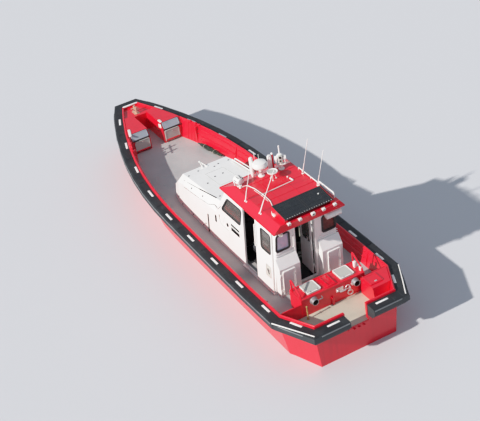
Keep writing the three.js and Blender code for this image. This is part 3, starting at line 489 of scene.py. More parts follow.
# A CAD piece takes the first finish of its slot. Those without a name here are on CAD pieces alone.
RED = finish(
    "red gloss paint", "red_paint", weathered_paint, 0.0006,
    (0.78, 0.006, 0.026), (0.38, 0.01, 0.02), 0.36, 0.28, Coat_Weight=0.35, Coat_Roughness=0.12,
)
WHITE = finish(
    "white gloss paint", "white_paint", weathered_paint, 0.0005,
    (0.87, 0.86, 0.84), (0.42, 0.39, 0.34), 0.16, 0.3, Coat_Weight=0.25, Coat_Roughness=0.15,
)
finish(
    "grey non-slip deck", "deck_paint", gritty_deck, 0.0012,
    (0.45, 0.44, 0.435), (0.31, 0.305, 0.31), (0.6, 0.6, 0.59), 260.0,
)
DECK_SAND = finish(
    "sand non-slip deck", "stern_deck_paint", gritty_deck, 0.0012,
    (0.53, 0.51, 0.41), (0.28, 0.27, 0.22), (0.72, 0.69, 0.58), 260.0,
)
PANEL_GREY = finish(
    "grey hatch paint", "grey_panel", gritty_deck, 0.0008,
    (0.5, 0.51, 0.47), (0.36, 0.37, 0.34), (0.66, 0.66, 0.61), 320.0,
)
LID_BLUE = finish(
    "blue-grey lid paint", "grey_panel", weathered_paint, 0.0006,
    (0.36, 0.41, 0.46), (0.2, 0.23, 0.26), 0.35, 0.4,
)
FENDER = finish(
    "fender rubber", "fender_rubber", scuffed_rubber, 0.002,
    (0.012, 0.014, 0.017), (0.07, 0.08, 0.088), 0.5,
)
FENDER_BEAD = finish(
    "worn fender edge", "fender_rubber", scuffed_rubber, 0.002,
    (0.11, 0.12, 0.13), (0.26, 0.27, 0.28), 0.7,
)
# Black rubber for the window and door seals, also used as painted shade in the bow lockers' gaps and as
# painted shadow and shade along the trunk's edges.
SEAL_AND_SHADE_BLACK = finish(
    "window seal rubber", "fender_rubber", scuffed_rubber, 0.001,
    (0.012, 0.012, 0.014), (0.06, 0.06, 0.06), 0.3,
)
STEEL = finish(
    "stainless steel", "steel", handled_metal, 0.0004,
    (0.86, 0.85, 0.84), (0.5, 0.48, 0.45), 0.35, 0.24, Metallic=0.8,
)
CAST = finish(
    "cast alloy", "cast_alloy", handled_metal, 0.0015,
    (0.5, 0.52, 0.54), (0.27, 0.27, 0.26), 0.6, 0.4, Metallic=0.8,
)
finish(
    "weathered bronze", "bitt_brass", handled_metal, 0.0008,
    (0.66, 0.46, 0.34), (0.4, 0.26, 0.2), 0.6, 0.4, Metallic=0.3,
)
YELLOW = finish(
    "yellow paint", "bitt_brass", weathered_paint, 0.0004,
    (0.42, 0.3, 0.1), (0.16, 0.11, 0.06), 0.6, 0.45,
)
WHITE_PLASTIC = finish(
    "white moulded plastic", "white_plastic", weathered_paint, 0.0004,
    (0.86, 0.85, 0.82), (0.5, 0.47, 0.4), 0.2, 0.28, Coat_Weight=0.2,
)
TAPE = finish(
    "reflective tape", "white_plastic", handled_metal, 0.0008,
    (0.9, 0.9, 0.88), (0.62, 0.62, 0.6), 0.25, 0.3,
)
finish(
    "tinted glass", "window_glass", handled_metal, 0.0,
    (0.17, 0.16, 0.15), (0.24, 0.225, 0.205), 0.25, 0.04,
    Transmission_Weight=0.45, IOR=1.5, Coat_Weight=0.4,
)
PALE_GLASS = finish(
    "glass before a pale blind", "window_glass", handled_metal, 0.0,
    (0.6, 0.56, 0.7), (0.45, 0.42, 0.55), 0.5, 0.06, Transmission_Weight=0.1, Coat_Weight=0.5,
)
RUST_GLASS = finish(
    "glass before a dark lining", "window_glass", handled_metal, 0.0,
    (0.13, 0.07, 0.065), (0.22, 0.12, 0.1), 0.5, 0.05, Transmission_Weight=0.2, Coat_Weight=0.4,
)
LENS = finish(
    "lamp lens", "window_glass", handled_metal, 0.0004,
    (0.82, 0.8, 0.66), (0.6, 0.55, 0.4), 0.3, 0.1, Transmission_Weight=0.25, Coat_Weight=0.6,
)
DARK = finish(
    "dark moulded plastic", "dark_plastic", scuffed_rubber, 0.0008,
    (0.018, 0.019, 0.021), (0.08, 0.08, 0.085), 0.3,
)
GLAZE = finish(
    "dark roof glass", "dark_plastic", weathered_paint, 0.0,
    (0.008, 0.01, 0.013), (0.035, 0.045, 0.04), 0.6, 0.2, Coat_Weight=0.25, Coat_Roughness=0.08,
)
# Flat black with dulled highlights, painted as the shade inside slots, holes, vent bores and lamp mouths.
SHADE_BLACK = finish(
    "black opening", "dark_plastic", scuffed_rubber, 0.0,
    (0.004, 0.004, 0.004), (0.012, 0.012, 0.012), 0.3, Specular_IOR_Level=0.1,
)
SEAT_VINYL = finish(
    "dark seat vinyl", "dark_plastic", corded, 0.0006,
    (0.045, 0.05, 0.062), (0.09, 0.1, 0.115), 320.0, Sheen_Weight=0.15,
)
# Dark cloth for the wheelhouse's inside; its darkness is partly painted shade of the dim cabin.
LINING = finish(
    "dark lining cloth", "dark_plastic", corded, 0.0008,
    (0.09, 0.095, 0.11), (0.14, 0.15, 0.17), 150.0,
)
NET_GREEN = finish(
    "dark green netting", "net_fabric", corded, 0.004,
    (0.008, 0.018, 0.012), (0.06, 0.11, 0.07), 70.0, Sheen_Weight=0.2,
)
ROPE_PALE = finish(
    "pale rope", "net_fabric", corded, 0.002,
    (0.5, 0.5, 0.42), (0.7, 0.68, 0.6), 120.0, Sheen_Weight=0.2,
)

OWN_FINISHES = {
    "roof_panel": GLAZE,
    "panel_rails": RED,
    "aft_window_port": PALE_GLASS,
    "aft_window_starboard": RUST_GLASS,
}
for row in frame["record"]["subparts"]:
    mesh = frame["nodes"][row["node"]].data
    mesh.materials.clear()
    mesh.materials.append(OWN_FINISHES.get(row["node"], first_of_slot[row["material_slot"]]))


# The wheelhouse's leaning walls: how far out each stands at the deck, and its lean per metre of
# height. The openings are outlines along the wall and in height above the deck.
SIDE_FOOT, SIDE_LEAN = 0.845, 0.0824
AFT_FOOT, AFT_LEAN = 1.9, 0.097
SCREEN_FOOT, SCREEN_LEAN = 5.103, 0.68
WINDOW_CORNER = 0.055
SIDE_WINDOW = [(3.395, 1.015), (4.25, 1.01), (3.945, 1.415), (3.3, 1.425)]
AFT_SIDE_WINDOW = [(1.985, 1.0), (2.385, 1.0), (2.375, 1.49), (1.965, 1.49)]
AFT_WINDOW = [(0.42, 1.155), (0.748, 1.155), (0.72, 1.58), (0.42, 1.58)]
SCREEN_PANES = [
    [(-0.64, 1.03), (-0.235, 1.03), (-0.225, 1.64), (-0.575, 1.64)],
    [(-0.205, 1.03), (0.205, 1.03), (0.195, 1.64), (-0.195, 1.64)],
    [(0.235, 1.03), (0.64, 1.03), (0.575, 1.64), (0.225, 1.64)],
]


def on_wall(foot, along, outward, lean, lift):
    """A place on a leaning wall: X level along it, Y up it from the deck and Z out of it."""
    up = (UP - outward * lean).normalized()
    out = (outward + UP * lean).normalized()
    place = Matrix((along, up, out)).transposed().to_4x4()
    place.translation = Vector(foot) + out * lift
    return place


def on_side(s, lift=0.0):
    return on_wall((0, s * SIDE_FOOT, DECK), AHEAD, TO_PORT * s, SIDE_LEAN, lift)


def on_aft(lift=0.0, proud=0.0):
    return on_wall((AFT_FOOT - proud, 0, DECK), TO_PORT, -AHEAD, -AFT_LEAN, lift)


def on_screen(lift=0.0):
    return on_wall((SCREEN_FOOT, 0, DECK), TO_PORT, AHEAD, SCREEN_LEAN, lift)


def climb(outline, lean):
    """An outline in heights above the deck, as lengths up a wall with that lean."""
    steep = math.hypot(1, lean)
    return [(a, up * steep) for a, up in outline]


def window_seals():
    """Rubber round each fixed pane. The aft side window to port lies behind the open door."""
    for s in SIDES.values():
        part.rim(climb(SIDE_WINDOW, SIDE_LEAN), WINDOW_CORNER, 0.012, 0.022, 0.014, on_side(s, -0.002))
        if s < 0:
            outline = climb(AFT_SIDE_WINDOW, SIDE_LEAN)
            part.rim(outline, WINDOW_CORNER, 0.01, 0.02, 0.0055, on_side(s, -0.001))
        outline = climb([(s * y, up) for y, up in AFT_WINDOW], AFT_LEAN)
        part.rim(outline, WINDOW_CORNER, 0.022, 0.026, 0.014, on_aft(-0.002))
    for pane in SCREEN_PANES:
        part.rim(climb(pane, SCREEN_LEAN), WINDOW_CORNER, 0.012, 0.012, 0.012, on_screen(-0.002))
    part.piece("window_seals", SEAL_AND_SHADE_BLACK)


def door_leaf_fittings():
    """Seal, latch, grab rail and pressed edge of each sliding door, which ride on its leaf."""
    leaf_face = 0.038
    shut_shift = 0.65
    for side, s in SIDES.items():
        shift = 0.0 if s > 0 else shut_shift
        body = f"side_door_{side}"
        face = on_side(s, leaf_face)
        window = [(x + shift, up) for x, up in AFT_SIDE_WINDOW]
        part.rim(climb(window, SIDE_LEAN), WINDOW_CORNER, 0.012, 0.018, 0.01, face @ at(0, 0, -0.002))
        part.piece(f"door_seal_{side}", SEAL_AND_SHADE_BLACK, body)
        latch = face @ at(2.1 + shift, 0.53, 0)
        part.rim(oblong(0.2, 0.28), 0.025, 0.0, 0.012, 0.007, latch, 0.002)
        part.box((-0.05, -0.02, 0), (-0.025, 0.06, 0.022), 0.006, latch)
        part.piece(f"door_latch_{side}", STEEL, body)
        # The grey plate is painted shade in the latch's sunken pocket, and the black patch is painted shade
        # in its hole.
        part.plate(oblong(0.2, 0.28), 0.003, latch, 0.025)
        part.piece(f"door_latch_plate_{side}", PANEL_GREY, body)
        part.plate([(-0.045, -0.07), (0.0, -0.08), (0.06, 0.02), (0.03, 0.065)], 0.005, latch, 0.015)
        part.piece(f"door_latch_well_{side}", SHADE_BLACK, body)
        x, low, high = 2.565 + shift, 0.95, 1.5
        grip = [(x, low, 0), (x, low, 0.05), (x, high, 0.05), (x, high, 0)]
        part.pipe(bend(grip, 0.03), 0.012, place=face)
        for up in (low, high):
            part.rod((x, up, -0.002), (x, up, 0.006), 0.022, place=face)
        part.piece(f"door_grab_{side}", WHITE_PLASTIC, body)
        edge = [(x + shift, up) for x, up in ((1.94, 0.07), (2.61, 0.07), (2.61, 0.93), (1.94, 0.93))]
        part.rim(climb(edge, SIDE_LEAN), 0.05, 0.012, 0.0, 0.005, face @ at(0, 0, -0.001), 0.002)
        part.piece(f"door_rib_{side}", WHITE, body)


def photo_camera():
    """The viewpoint that the boat's straight edges give, with the photograph's lens."""
    data = bpy.data.cameras.new("camera")
    data.sensor_width = 36
    data.lens = 97.557
    data.clip_end = 300
    right = Vector((-0.48489, -0.86446, -0.13264))
    down = Vector((-0.42937, 0.36742, -0.82501))
    forward = Vector((0.76192, -0.34309, -0.54933))
    place = Matrix((right, -down, -forward)).transposed().to_4x4()
    place.translation = (-18.5198, 10.5750, 17.9051)
    camera = in_scene("camera", data)
    camera.matrix_world = place
    bpy.context.scene.camera = camera


def studio():
    """A pale floor at the waterline, a soft key light from port and an even sky."""
    bm = bmesh.new()
    bmesh.ops.create_grid(bm, x_segments=1, y_segments=1, size=60)
    mesh = bpy.data.meshes.new("floor")
    bm.to_mesh(mesh)
    bm.free()
    pale = bpy.data.materials.new("pale floor")
    pale.use_nodes = True
    shader = pale.node_tree.nodes["Principled BSDF"]
    shader.inputs["Base Color"].default_value = (0.62, 0.63, 0.65, 1)
    shader.inputs["Roughness"].default_value = 0.9
    mesh.materials.append(pale)
    in_scene("floor", mesh)

    key = bpy.data.lights.new("key", "SUN")
    key.energy = 4.4
    key.color = (1.0, 0.95, 0.9)
    key.angle = math.radians(1.2)
    key_way = Vector((0.08, -0.88, -0.52))
    in_scene("key", key).matrix_world = key_way.to_track_quat("-Z", "Y").to_matrix().to_4x4()
    world = bpy.data.worlds.new("sky")
    world.use_nodes = True
    sky = world.node_tree.nodes["Background"]
    sky.inputs["Color"].default_value = (0.74, 0.84, 1.0, 1)
    sky.inputs["Strength"].default_value = 0.44
    bpy.context.scene.world = world

    # The film's curve holds detail in the sunlit white sides.
    view = bpy.context.scene.view_settings
    view.view_transform = "Standard"
    view.use_curve_mapping = True
    curves = view.curve_mapping
    curves.white_level = (1.7, 1.7, 1.7)
    for bright, shown in ((0.3, 0.54), (0.52, 0.83), (0.72, 0.93)):
        curves.curves[3].points.new(bright, shown)
    curves.update()


# The fender, the rail and what is fixed along them.
TAPES = [
    (0.373, 1.227), (1.236, 1.449), (2.34, 1.476), (3.46, 1.494), (4.59, 1.51),
    (5.69, 1.52), (6.86, 1.43), (8.06, 1.236), (9.27, 0.951), (10.47, 0.578),
]
RAIL_STOPS = [0.8, 1.4, 2.0, 2.9, 3.8, 4.7, 5.6, 6.3, 7.0, 7.7, 8.4, 9.1, 9.8, 10.45, 10.8, 11.02]
FENDER_JOINTS = [0.72, 1.78, 2.9, 4.02, 5.14, 6.27, 7.46, 8.67, 9.87, 10.86]
FENDER_SIDE_UP = 1.0
HULL_SIDE_UP = 1.02


def fender_way(x, s):
    """The direction along the fender beside x."""
    back, on = (side_of("fender", x + step, FENDER_SIDE_UP, s)[0] for step in (-0.12, 0.12))
    return (on - back).normalized()


def reflective_tapes():
    """Tape pieces along the fender and across its stern, and a white bar on the bow."""
    for s in SIDES.values():
        spots = [(top_of("fender", x, s * y), fender_way(x, s)) for x, y in TAPES]
        for spot, way in spots + [(top_of("fender", -0.09, s * 0.6), TO_PORT)]:
            part.plate(oblong(0.3, 0.052), 0.006, settle(spot, way), 0.008, 0.002)
    part.plate(oblong(0.43, 0.05), 0.024, settle(top_of("hull", 11.035, 0), TO_PORT, 0), 0.012, 0.003)
    part.piece("reflective_tapes", TAPE)


def hull_beam(x):
    """Half the width of the hull's side beside x, high up."""
    return abs(side_of("hull", x, HULL_SIDE_UP, 1)[0].y)


def fender_trim():
    """The worn bead on the fender's shoulder, a rub bar on each quarter and straps over the joints."""
    for s in SIDES.values():
        line = []
        for x in [0.02, 0.4] + RAIL_STOPS:
            down = top_of("fender", x, s * (hull_beam(x) + 0.05))[0].z - 0.03
            point, out = side_of("fender", x, down, s)
            line.append(point - out * 0.004)
        down = top_of("fender", -0.2, s * 0.5)[0].z - 0.03
        for y in (0.98, 0.31):
            line.insert(0, land("fender", (-BESIDE_ALL, s * y, down), AHEAD)[0] + AHEAD * 0.004)
        part.pipe(line, 0.015)
    part.piece("fender_bead", FENDER_BEAD)
    for s in SIDES.values():
        ends = [(0.739, 1.601), (0.239, 1.356), (-0.2, 1.13)]
        part.pipe([top_of("fender", x, s * y)[0] for x, y in ends], 0.014)
    part.piece("quarter_rub_bars", WHITE_PLASTIC)
    for s in SIDES.values():
        for x in FENDER_JOINTS:
            way = fender_way(x, s)
            across = [s * (hull_beam(x) + step) for step in (0.012, 0.07, 0.13, 0.185)]
            points = [top_of("fender", x, y)[0] + UP * 0.002 for y in across]
            for down in (0.035, 0.08, 0.125):
                point, out = side_of("fender", x, points[0].z - down, s)
                points.append(point + out * 0.002)
            for a, b in zip(points, points[1:]):
                out = (b - a).cross(way).normalized() * s
                length = (b - a).length + 0.004
                part.plate(oblong(0.045, length), 0.008, seat((a + b) / 2 - out * 0.004, out, way))
    part.piece("fender_joint_straps", FENDER)


def rail_top(x, s, inset_by):
    """The spot on top of the rail beside x, a little inside its outer edge."""
    level = top_of("hull", x, 0)[0].z - 0.03 if x > 10.5 else HULL_SIDE_UP
    outer = abs(side_of("hull", x, level, s)[0].y)
    return top_of("hull", x, s * (outer - inset_by))


def rail_capping():
    """A rounded capping on the rail from the stern's notch to the bow, chocks and a double post."""
    for s in SIDES.values():
        stern = [top_of("hull", 0.03, s * y)[0] for y in (0.29, 0.985)]
        part.pipe(stern + [rail_top(x, s, 0.028)[0] for x in RAIL_STOPS], 0.024, roundness=3)
    part.piece("rail_capping", RED)
    for x in (8.83, 8.97, 9.16):
        for s in SIDES.values():
            place = settle(rail_top(x, s, 0.045), fender_way(x, s), 0)
            part.box((-0.035, -0.03, 0), (0.035, 0.03, 0.045), 0.008, place)
    part.piece("rail_chocks", RED)
    feet = [rail_top(x, 1, 0.045)[0] for x in (8.87, 9.07)]
    for foot in feet:
        for height, radius in ((0.25, 0.021), (0.012, 0.035)):
            part.rod(foot - UP * 0.004, foot + UP * height, radius)
    middle = (feet[0] + feet[1]) / 2 + UP * 0.155
    half_bar = (feet[1] - feet[0]).normalized() * 0.22
    part.rod(middle - half_bar, middle + half_bar, 0.015)
    part.piece("rail_bitt", RED)


def wall_of(x, share, s):
    """The spot on the inner face of the bulwark, at a share of its height."""
    height = rail_top(min(x, 10.4), s, 0.028)[0].z - DECK
    return land("hull", (x, s * 0.3, DECK + share * height), TO_PORT * s)


def bulwark_fittings():
    """Two ribs along each bulwark, stiffeners to starboard and the bolts of one web."""
    spans = [(1.62, 2.9, 4.62), (4.78, 5.4, 5.93), (6.07, 6.7, 7.23), (7.37, 8.1, 8.72)]
    for s in SIDES.values():
        for stops in spans:
            for share, radius in ((0.46, 0.02), (0.82, 0.014)):
                part.pipe([wall_of(x, share, s)[0] for x in stops], radius)
    part.piece("bulwark_ribs", RED)
    for x in (8.98, 9.1, 9.22):
        part.pipe([wall_of(x, share, -1)[0] for share in (0.03, 0.5, 0.96)], 0.015)
    part.piece("bulwark_stiffeners", RED)
    part.rivets([land("hull", (8.4, -0.92, DECK + up), AHEAD) for up in (0.14, 0.28, 0.4)], 0.014, 0.009)
    part.piece("bulwark_bolts", DARK)


def scrambling_net():
    """The rolled net at the foot of the starboard bulwark: turns of cord, tied with two lashings."""
    low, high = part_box("net_roll")
    start, end = Vector((low.x - 0.02, -0.99, 0)), Vector((high.x + 0.03, -0.83, 0))
    way = (end - start).normalized()
    across = way.cross(UP).normalized()
    middle = UP * (DECK + 0.068)
    chance = random.Random(4)

    def plump(t):
        bulge = 0.78 + 0.22 * math.sin(t * 17 + 1.3) * math.sin(t * 7.7 + 0.6)
        return 0.88 * bulge * min(1.0, 0.35 + 3.2 * min(t, 1 - t))

    def on_roll(t, angle, radius, shift=0.0):
        side = across * (radius * math.cos(angle)) + UP * (0.92 * radius * math.sin(angle))
        return start.lerp(end, t) + way * shift + side + middle

    core_parts, strands, stops, turns_of_cord = 24, 14, 32, 26
    for step in range(core_parts):
        t = (step + 0.5) / core_parts
        reach = 0.048 * plump(t)
        part.rod(on_roll(t - 0.024, 0, 0), on_roll(t + 0.024, 0, 0), reach, reach * 0.9, sides=10)
    for strand in range(strands):
        begin = math.tau * strand / strands
        turns = chance.uniform(1.2, 3.2) * chance.choice((-1, 1))
        reach = chance.uniform(0.85, 1.0)
        points = []
        for t in (step / stops for step in range(stops + 1)):
            angle = begin + turns * t * math.tau + 0.5 * math.sin(9 * t + strand)
            points.append(on_roll(t, angle, 0.056 * reach * plump(t)))
        part.pipe(points, chance.uniform(0.008, 0.012), roundness=1)
    for step in range(turns_of_cord):
        t = (step + 0.5) / turns_of_cord
        tilt = chance.uniform(-0.5, 0.5)
        reach = 0.062 * plump(t)
        angles = [math.tau * k / 14 for k in range(14)]
        loop = [on_roll(t, angle, reach, tilt * reach * math.cos(angle)) for angle in angles]
        part.pipe(loop, 0.007, closed=True, roundness=1)
    part.piece("scrambling_net", NET_GREEN, replaces=("net_roll",))
    for t in (0.3, 0.72):
        loop = [on_roll(t, math.tau * k / 16, 0.061) for k in range(16)]
        part.pipe(loop, 0.0055, closed=True, roundness=1)
    part.piece("net_lashings", ROPE_PALE)


# The bow.
def bow_locker_fittings():
    """Sloping lids, door borders, lid seals and a black strip of painted shade in the gap of both lockers,
    and their white pads.
    """
    foot, crest = Vector((9.45, 0, DECK + 0.385)), Vector((9.57, 0, DECK + 0.56))
    slope = (crest - foot).normalized()
    out = Vector((-slope.z, 0, slope.x))
    near, far = 0.225, 0.7
    lid = oblong(far - near, 0.185)
    for side, s in SIDES.items():
        place = seat((foot + crest) / 2 + TO_PORT * (s * (near + far) / 2) + out * 0.002, out, TO_PORT)
        part.plate(lid, 0.016, place, 0.03, 0.004, 0.022, 0.004)
        part.piece(f"bow_locker_lid_{side}", LID_BLUE)
        part.rim(lid, 0.03, 0.0, 0.012, 0.01, place, 0.002)
        # The black strip below each lid is painted shade in the gap between lid and door.
        below = at(9.45, 0, DECK) @ Matrix.Diagonal((1, s, 1, 1))
        part.box((-0.005, 0.198, 0.362), (0.001, 0.75, 0.385), 0.001, below)
        part.piece(f"bow_locker_seal_and_gap_shade_{side}", SEAL_AND_SHADE_BLACK)
        body = f"bow_locker_door_{side}"
        low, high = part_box(body)
        height = high.z - low.z
        # This face's Y runs down.
        face = seat((low.x + 0.0005, s * 0.4395, (low.z + high.z) / 2), -AHEAD, TO_PORT)
        part.rim(oblong(0.4265, height), 0.05, 0.028, 0.0, 0.005, face, 0.002)
        part.piece(f"bow_door_border_{side}", PANEL_GREY, body)
        part.box((-0.21, -0.034, -0.001), (0.21, 0.034, 0.005), 0.002, face @ at(0, height / 2 - 0.035, 0))
        part.piece(f"bow_door_kick_{side}", RED, body)
        part.box((-0.02, -0.122, 0), (0.02, -0.1, 0.014), 0.005, face)
        part.piece(f"bow_door_latch_{side}", STEEL, body)
    pads = (("starboard", 9.66, -0.232, 0.17, 0.0), ("port", 9.64, 0.666, 0.38, -0.315))
    for side, x, y, length, angle in pads:
        along = (math.cos(angle), math.sin(angle), 0)
        place = settle(top_of(f"bow_locker_{side}", x, y), along)
        part.plate(oblong(length, 0.07), 0.014, place, 0.025, 0.004)
    place = settle(land("bow_locker_starboard", (9.62, 0, DECK + 0.47), -TO_PORT), AHEAD)
    part.plate([(-0.1, -0.06), (0.07, -0.02), (0.07, 0.09), (-0.1, 0.05)], 0.014, place, 0.02, 0.004)
    part.piece("bow_white_pads", WHITE_PLASTIC)


def deck_hatch():
    """The seam of the flush hatch on the port side of the fore deck."""
    corners = [(8.04, 0.78), (7.89, 0.4), (7.34, 0.68), (7.81, 0.87), (8.04, 0.78)]
    part.pipe(bend([(x, y, DECK - 0.001) for x, y in corners], 0.03), 0.005, roundness=1)
    part.piece("deck_hatch_seam", PANEL_GREY)


# The trunk.
def trunk_seam_and_shade_lines():
    """Bolts, black lines painted as shadow along the top edge and as shade down the ledge on the side, a dark
    upright seam and a fixed pipe below the ledge.
    """
    on_top = [
        (6.35, 0.567), (6.417, 0.275), (6.31, -0.119), (6.379, -0.263), (6.352, -0.53),
        (5.811, -0.092), (5.806, 0.125), (4.777, 0.528), (5.2, -0.42), (5.62, 0.42),
    ]
    on_wall_side = [
        (5.909, 0.729), (6.635, 0.166), (5.331, 0.795), (6.43, 0.05),
        (5.851, 0.05), (5.294, 0.05), (5.163, 0.153),
    ]
    spots = [top_of("cabin", x, y) for x, y in on_top]
    for s in SIDES.values():
        spots += [side_of("cabin", x, DECK + up, s) for x, up in on_wall_side]
    part.rivets(spots, 0.021, 0.009)
    part.piece("trunk_bolts", DARK)

    # The lines along the top edge and the ledge are painted shadow and shade; the upright one is a dark seam.
    edge_shadow_line = [(6.39, 0.697), (6.0, 0.681), (5.6, 0.665), (5.3, 0.653), (4.76, 0.632)]
    ledge = [(6.26, 0.612), (5.6, 0.694), (4.965, 0.773), (4.741, 0.856), (4.463, 0.899), (4.3, 1.05)]
    upright = [(5.0, 0.02), (5.0, 0.3), (5.0, 0.5)]
    pipe = [(4.42, 0.72), (4.38, 0.59), (4.3, 0.56), (4.0, 0.56)]
    seams = Build()
    for s in SIDES.values():
        edge = [top_of("cabin", x, s * y)[0] + UP * 0.001 for x, y in edge_shadow_line]
        seams.pipe(edge[:3], 0.006, roundness=1)
        seams.pipe(edge[2:], 0.012)
        seams.pipe([side_of("cabin", x, DECK + up, s)[0] for x, up in ledge], 0.006, roundness=1)
        seams.pipe([side_of("cabin", x, DECK + up, s)[0] for x, up in upright], 0.02)
        part.pipe(bend([side_of("cabin", x, DECK + up, s)[0] for x, up in pipe], 0.06), 0.009)
    part.piece("trunk_pipes", PANEL_GREY)
    seams.piece("trunk_seam_and_shade_lines", SEAL_AND_SHADE_BLACK)


def trunk_louvres():
    """Frame, black patches painted as the shade in the openings, and blades of the vent below each side
    window.
    """
    for side, s in SIDES.items():
        wall = on_side(s, -0.001)
        outline = climb([(3.36, 0.6), (4.24, 0.6), (4.16, 0.87), (3.36, 0.87)], SIDE_LEAN)
        part.rim(outline, 0.04, 0.014, 0, 0.01, wall, 0.003)
        part.piece(f"louvre_frame_{side}", WHITE)
        # The black patches are painted shade where the vent and the holes beside it open into the wall.
        openings = [((3.46, 0.776), (3.84, 0.824)), ((3.46, 0.646), (3.84, 0.734))]
        openings += [((4.565, 0.49), (4.64, 0.67)), ((4.4, 0.66), (4.43, 0.78))]
        for low, high in openings:
            part.box((*low, 0), (*high, 0.004), 0.001, wall)
        part.rod((4.02, 0.7, 0), (4.02, 0.7, 0.005), 0.048, place=wall)
        part.piece(f"louvre_opening_shade_{side}", SHADE_BLACK)
        for up in (0.836, 0.748):
            blade = wall @ at(3.65, up, 0.008) @ turn(0.6, "X")
            part.box((-0.195, -0.008, -0.003), (0.195, 0.008, 0.003), 0.001, blade)
        part.piece(f"louvre_blades_{side}", WHITE)


def trunk_top():
    """The double handrail, a black plate painted as the shade between its bars, the flush hatch and the mast
    foot.
    """
    fore, aft = (top_of("cabin", x, -0.64) for x in (6.2, 5.24))
    for sway in (0.0, 0.075):
        line = [(fore[0], -0.004), (fore[0], 0.07), (aft[0], 0.07), (aft[0], -0.004)]
        part.pipe(bend([foot + UP * lift + TO_PORT * sway for foot, lift in line], 0.05), 0.015)
    part.piece("trunk_handrail", WHITE_PLASTIC)
    # A black plate just below the bars is painted shade in the gap between them.
    middle = (fore[0] + aft[0]) / 2 + TO_PORT * 0.037
    part.plate(oblong(0.86, 0.04), 0.007, seat(middle + UP * 0.05, fore[1], fore[0] - aft[0]), 0.015, 0.001)
    part.piece("trunk_rail_shade", SHADE_BLACK)
    hatch = [top_of("cabin", x, y)[0] for x, y in ((5.28, 0.26), (5.28, -0.26), (6.1, -0.24), (6.1, 0.24))]
    part.pipe(hatch, 0.005, closed=True, roundness=1)
    part.piece("trunk_hatch_seam", PANEL_GREY)

    # The small A-shaped bracket that reaches out over the front edge of the trunk.
    feet = [top_of("cabin", 6.5, y)[0] for y in (0.11, -0.005)]
    tip = (feet[0] + feet[1]) / 2 + Vector((0.22, 0.03, 0.06))
    part.pipe([feet[0], tip, feet[1]], 0.015)
    part.pipe([foot.lerp(tip, 0.4) for foot in feet], 0.012)
    part.rod(tip - TO_PORT * 0.02, tip + TO_PORT * 0.02, 0.02)
    for foot in feet:
        part.rod(foot - UP * 0.01, foot + UP * 0.012, 0.032)
    part.piece("bow_light_bracket", WHITE_PLASTIC)


def wipers():
    """A wiper on each pane of the windscreen."""
    face = on_screen(0.016)
    steep = math.hypot(1, SCREEN_LEAN)
    foot_up, tip_up = 0.985 * steep, 1.42 * steep
    for y, s in ((-0.42, 1), (0.0, 1), (0.42, -1)):
        tip = y + 0.15 * s
        part.rod((y, foot_up, -0.018), (y, foot_up, 0.02), 0.018, place=face)
        part.rod((y, foot_up, -0.012), (tip, tip_up, 0.012), 0.006, 0.005, sides=8, place=face)
        low, high = (tip - 0.03, tip_up - 0.22, 0.003), (tip + 0.02, tip_up + 0.2, 0.003)
        part.rod(low, high, 0.008, sides=8, place=face)
    part.piece("wipers", DARK)


# The aft wall.
def wall_locker_fittings():
    """Door borders, latches and hinge pads of the lockers beside the aft door, and ledges above."""
    steep = math.hypot(1, AFT_LEAN)
    locker_proud = 0.17
    for side, s in SIDES.items():
        body = f"aft_locker_door_{side}"
        locker_face = on_aft(0.0, locker_proud)
        face = locker_face @ at(s * 0.5725, 0.38 * steep, 0.0185)
        part.rim(oblong(0.322, 0.642), 0.03, 0.024, 0.0, 0.009, face, 0.003)
        part.rim(oblong(0.24, 0.56), 0.03, 0.01, 0.0, 0.004, face, 0.0015)
        part.piece(f"wall_locker_border_{side}", WHITE, body)
        for up in (-0.18, 0.18):
            latch = face @ at(s * -0.1375, up, 0.007)
            part.box((-0.018, -0.03, 0), (0.018, 0.03, 0.012), 0.004, latch)
            part.rod((-0.02, 0, 0.012), (0.03, 0, 0.016), 0.006, place=latch)
        part.piece(f"wall_locker_latches_{side}", STEEL, body)
        for up in (0.16, 0.6):
            hinge = locker_face @ at(s * 0.775, up * steep, -0.001)
            part.plate(oblong(0.036, 0.08), 0.012, hinge, 0.006, 0.002)
        part.piece(f"wall_locker_hinge_pads_{side}", WHITE_PLASTIC)
        near, far = sorted((s * 0.3, s * 0.79))
        part.box((near, 1.03, 0), (far, 1.046, 0.014), 0.004, on_aft(-0.001))
        part.box((near, 1.085, 0), (far, 1.098, 0.01), 0.003, on_aft(-0.001))
        part.piece(f"aft_ledges_{side}", WHITE)


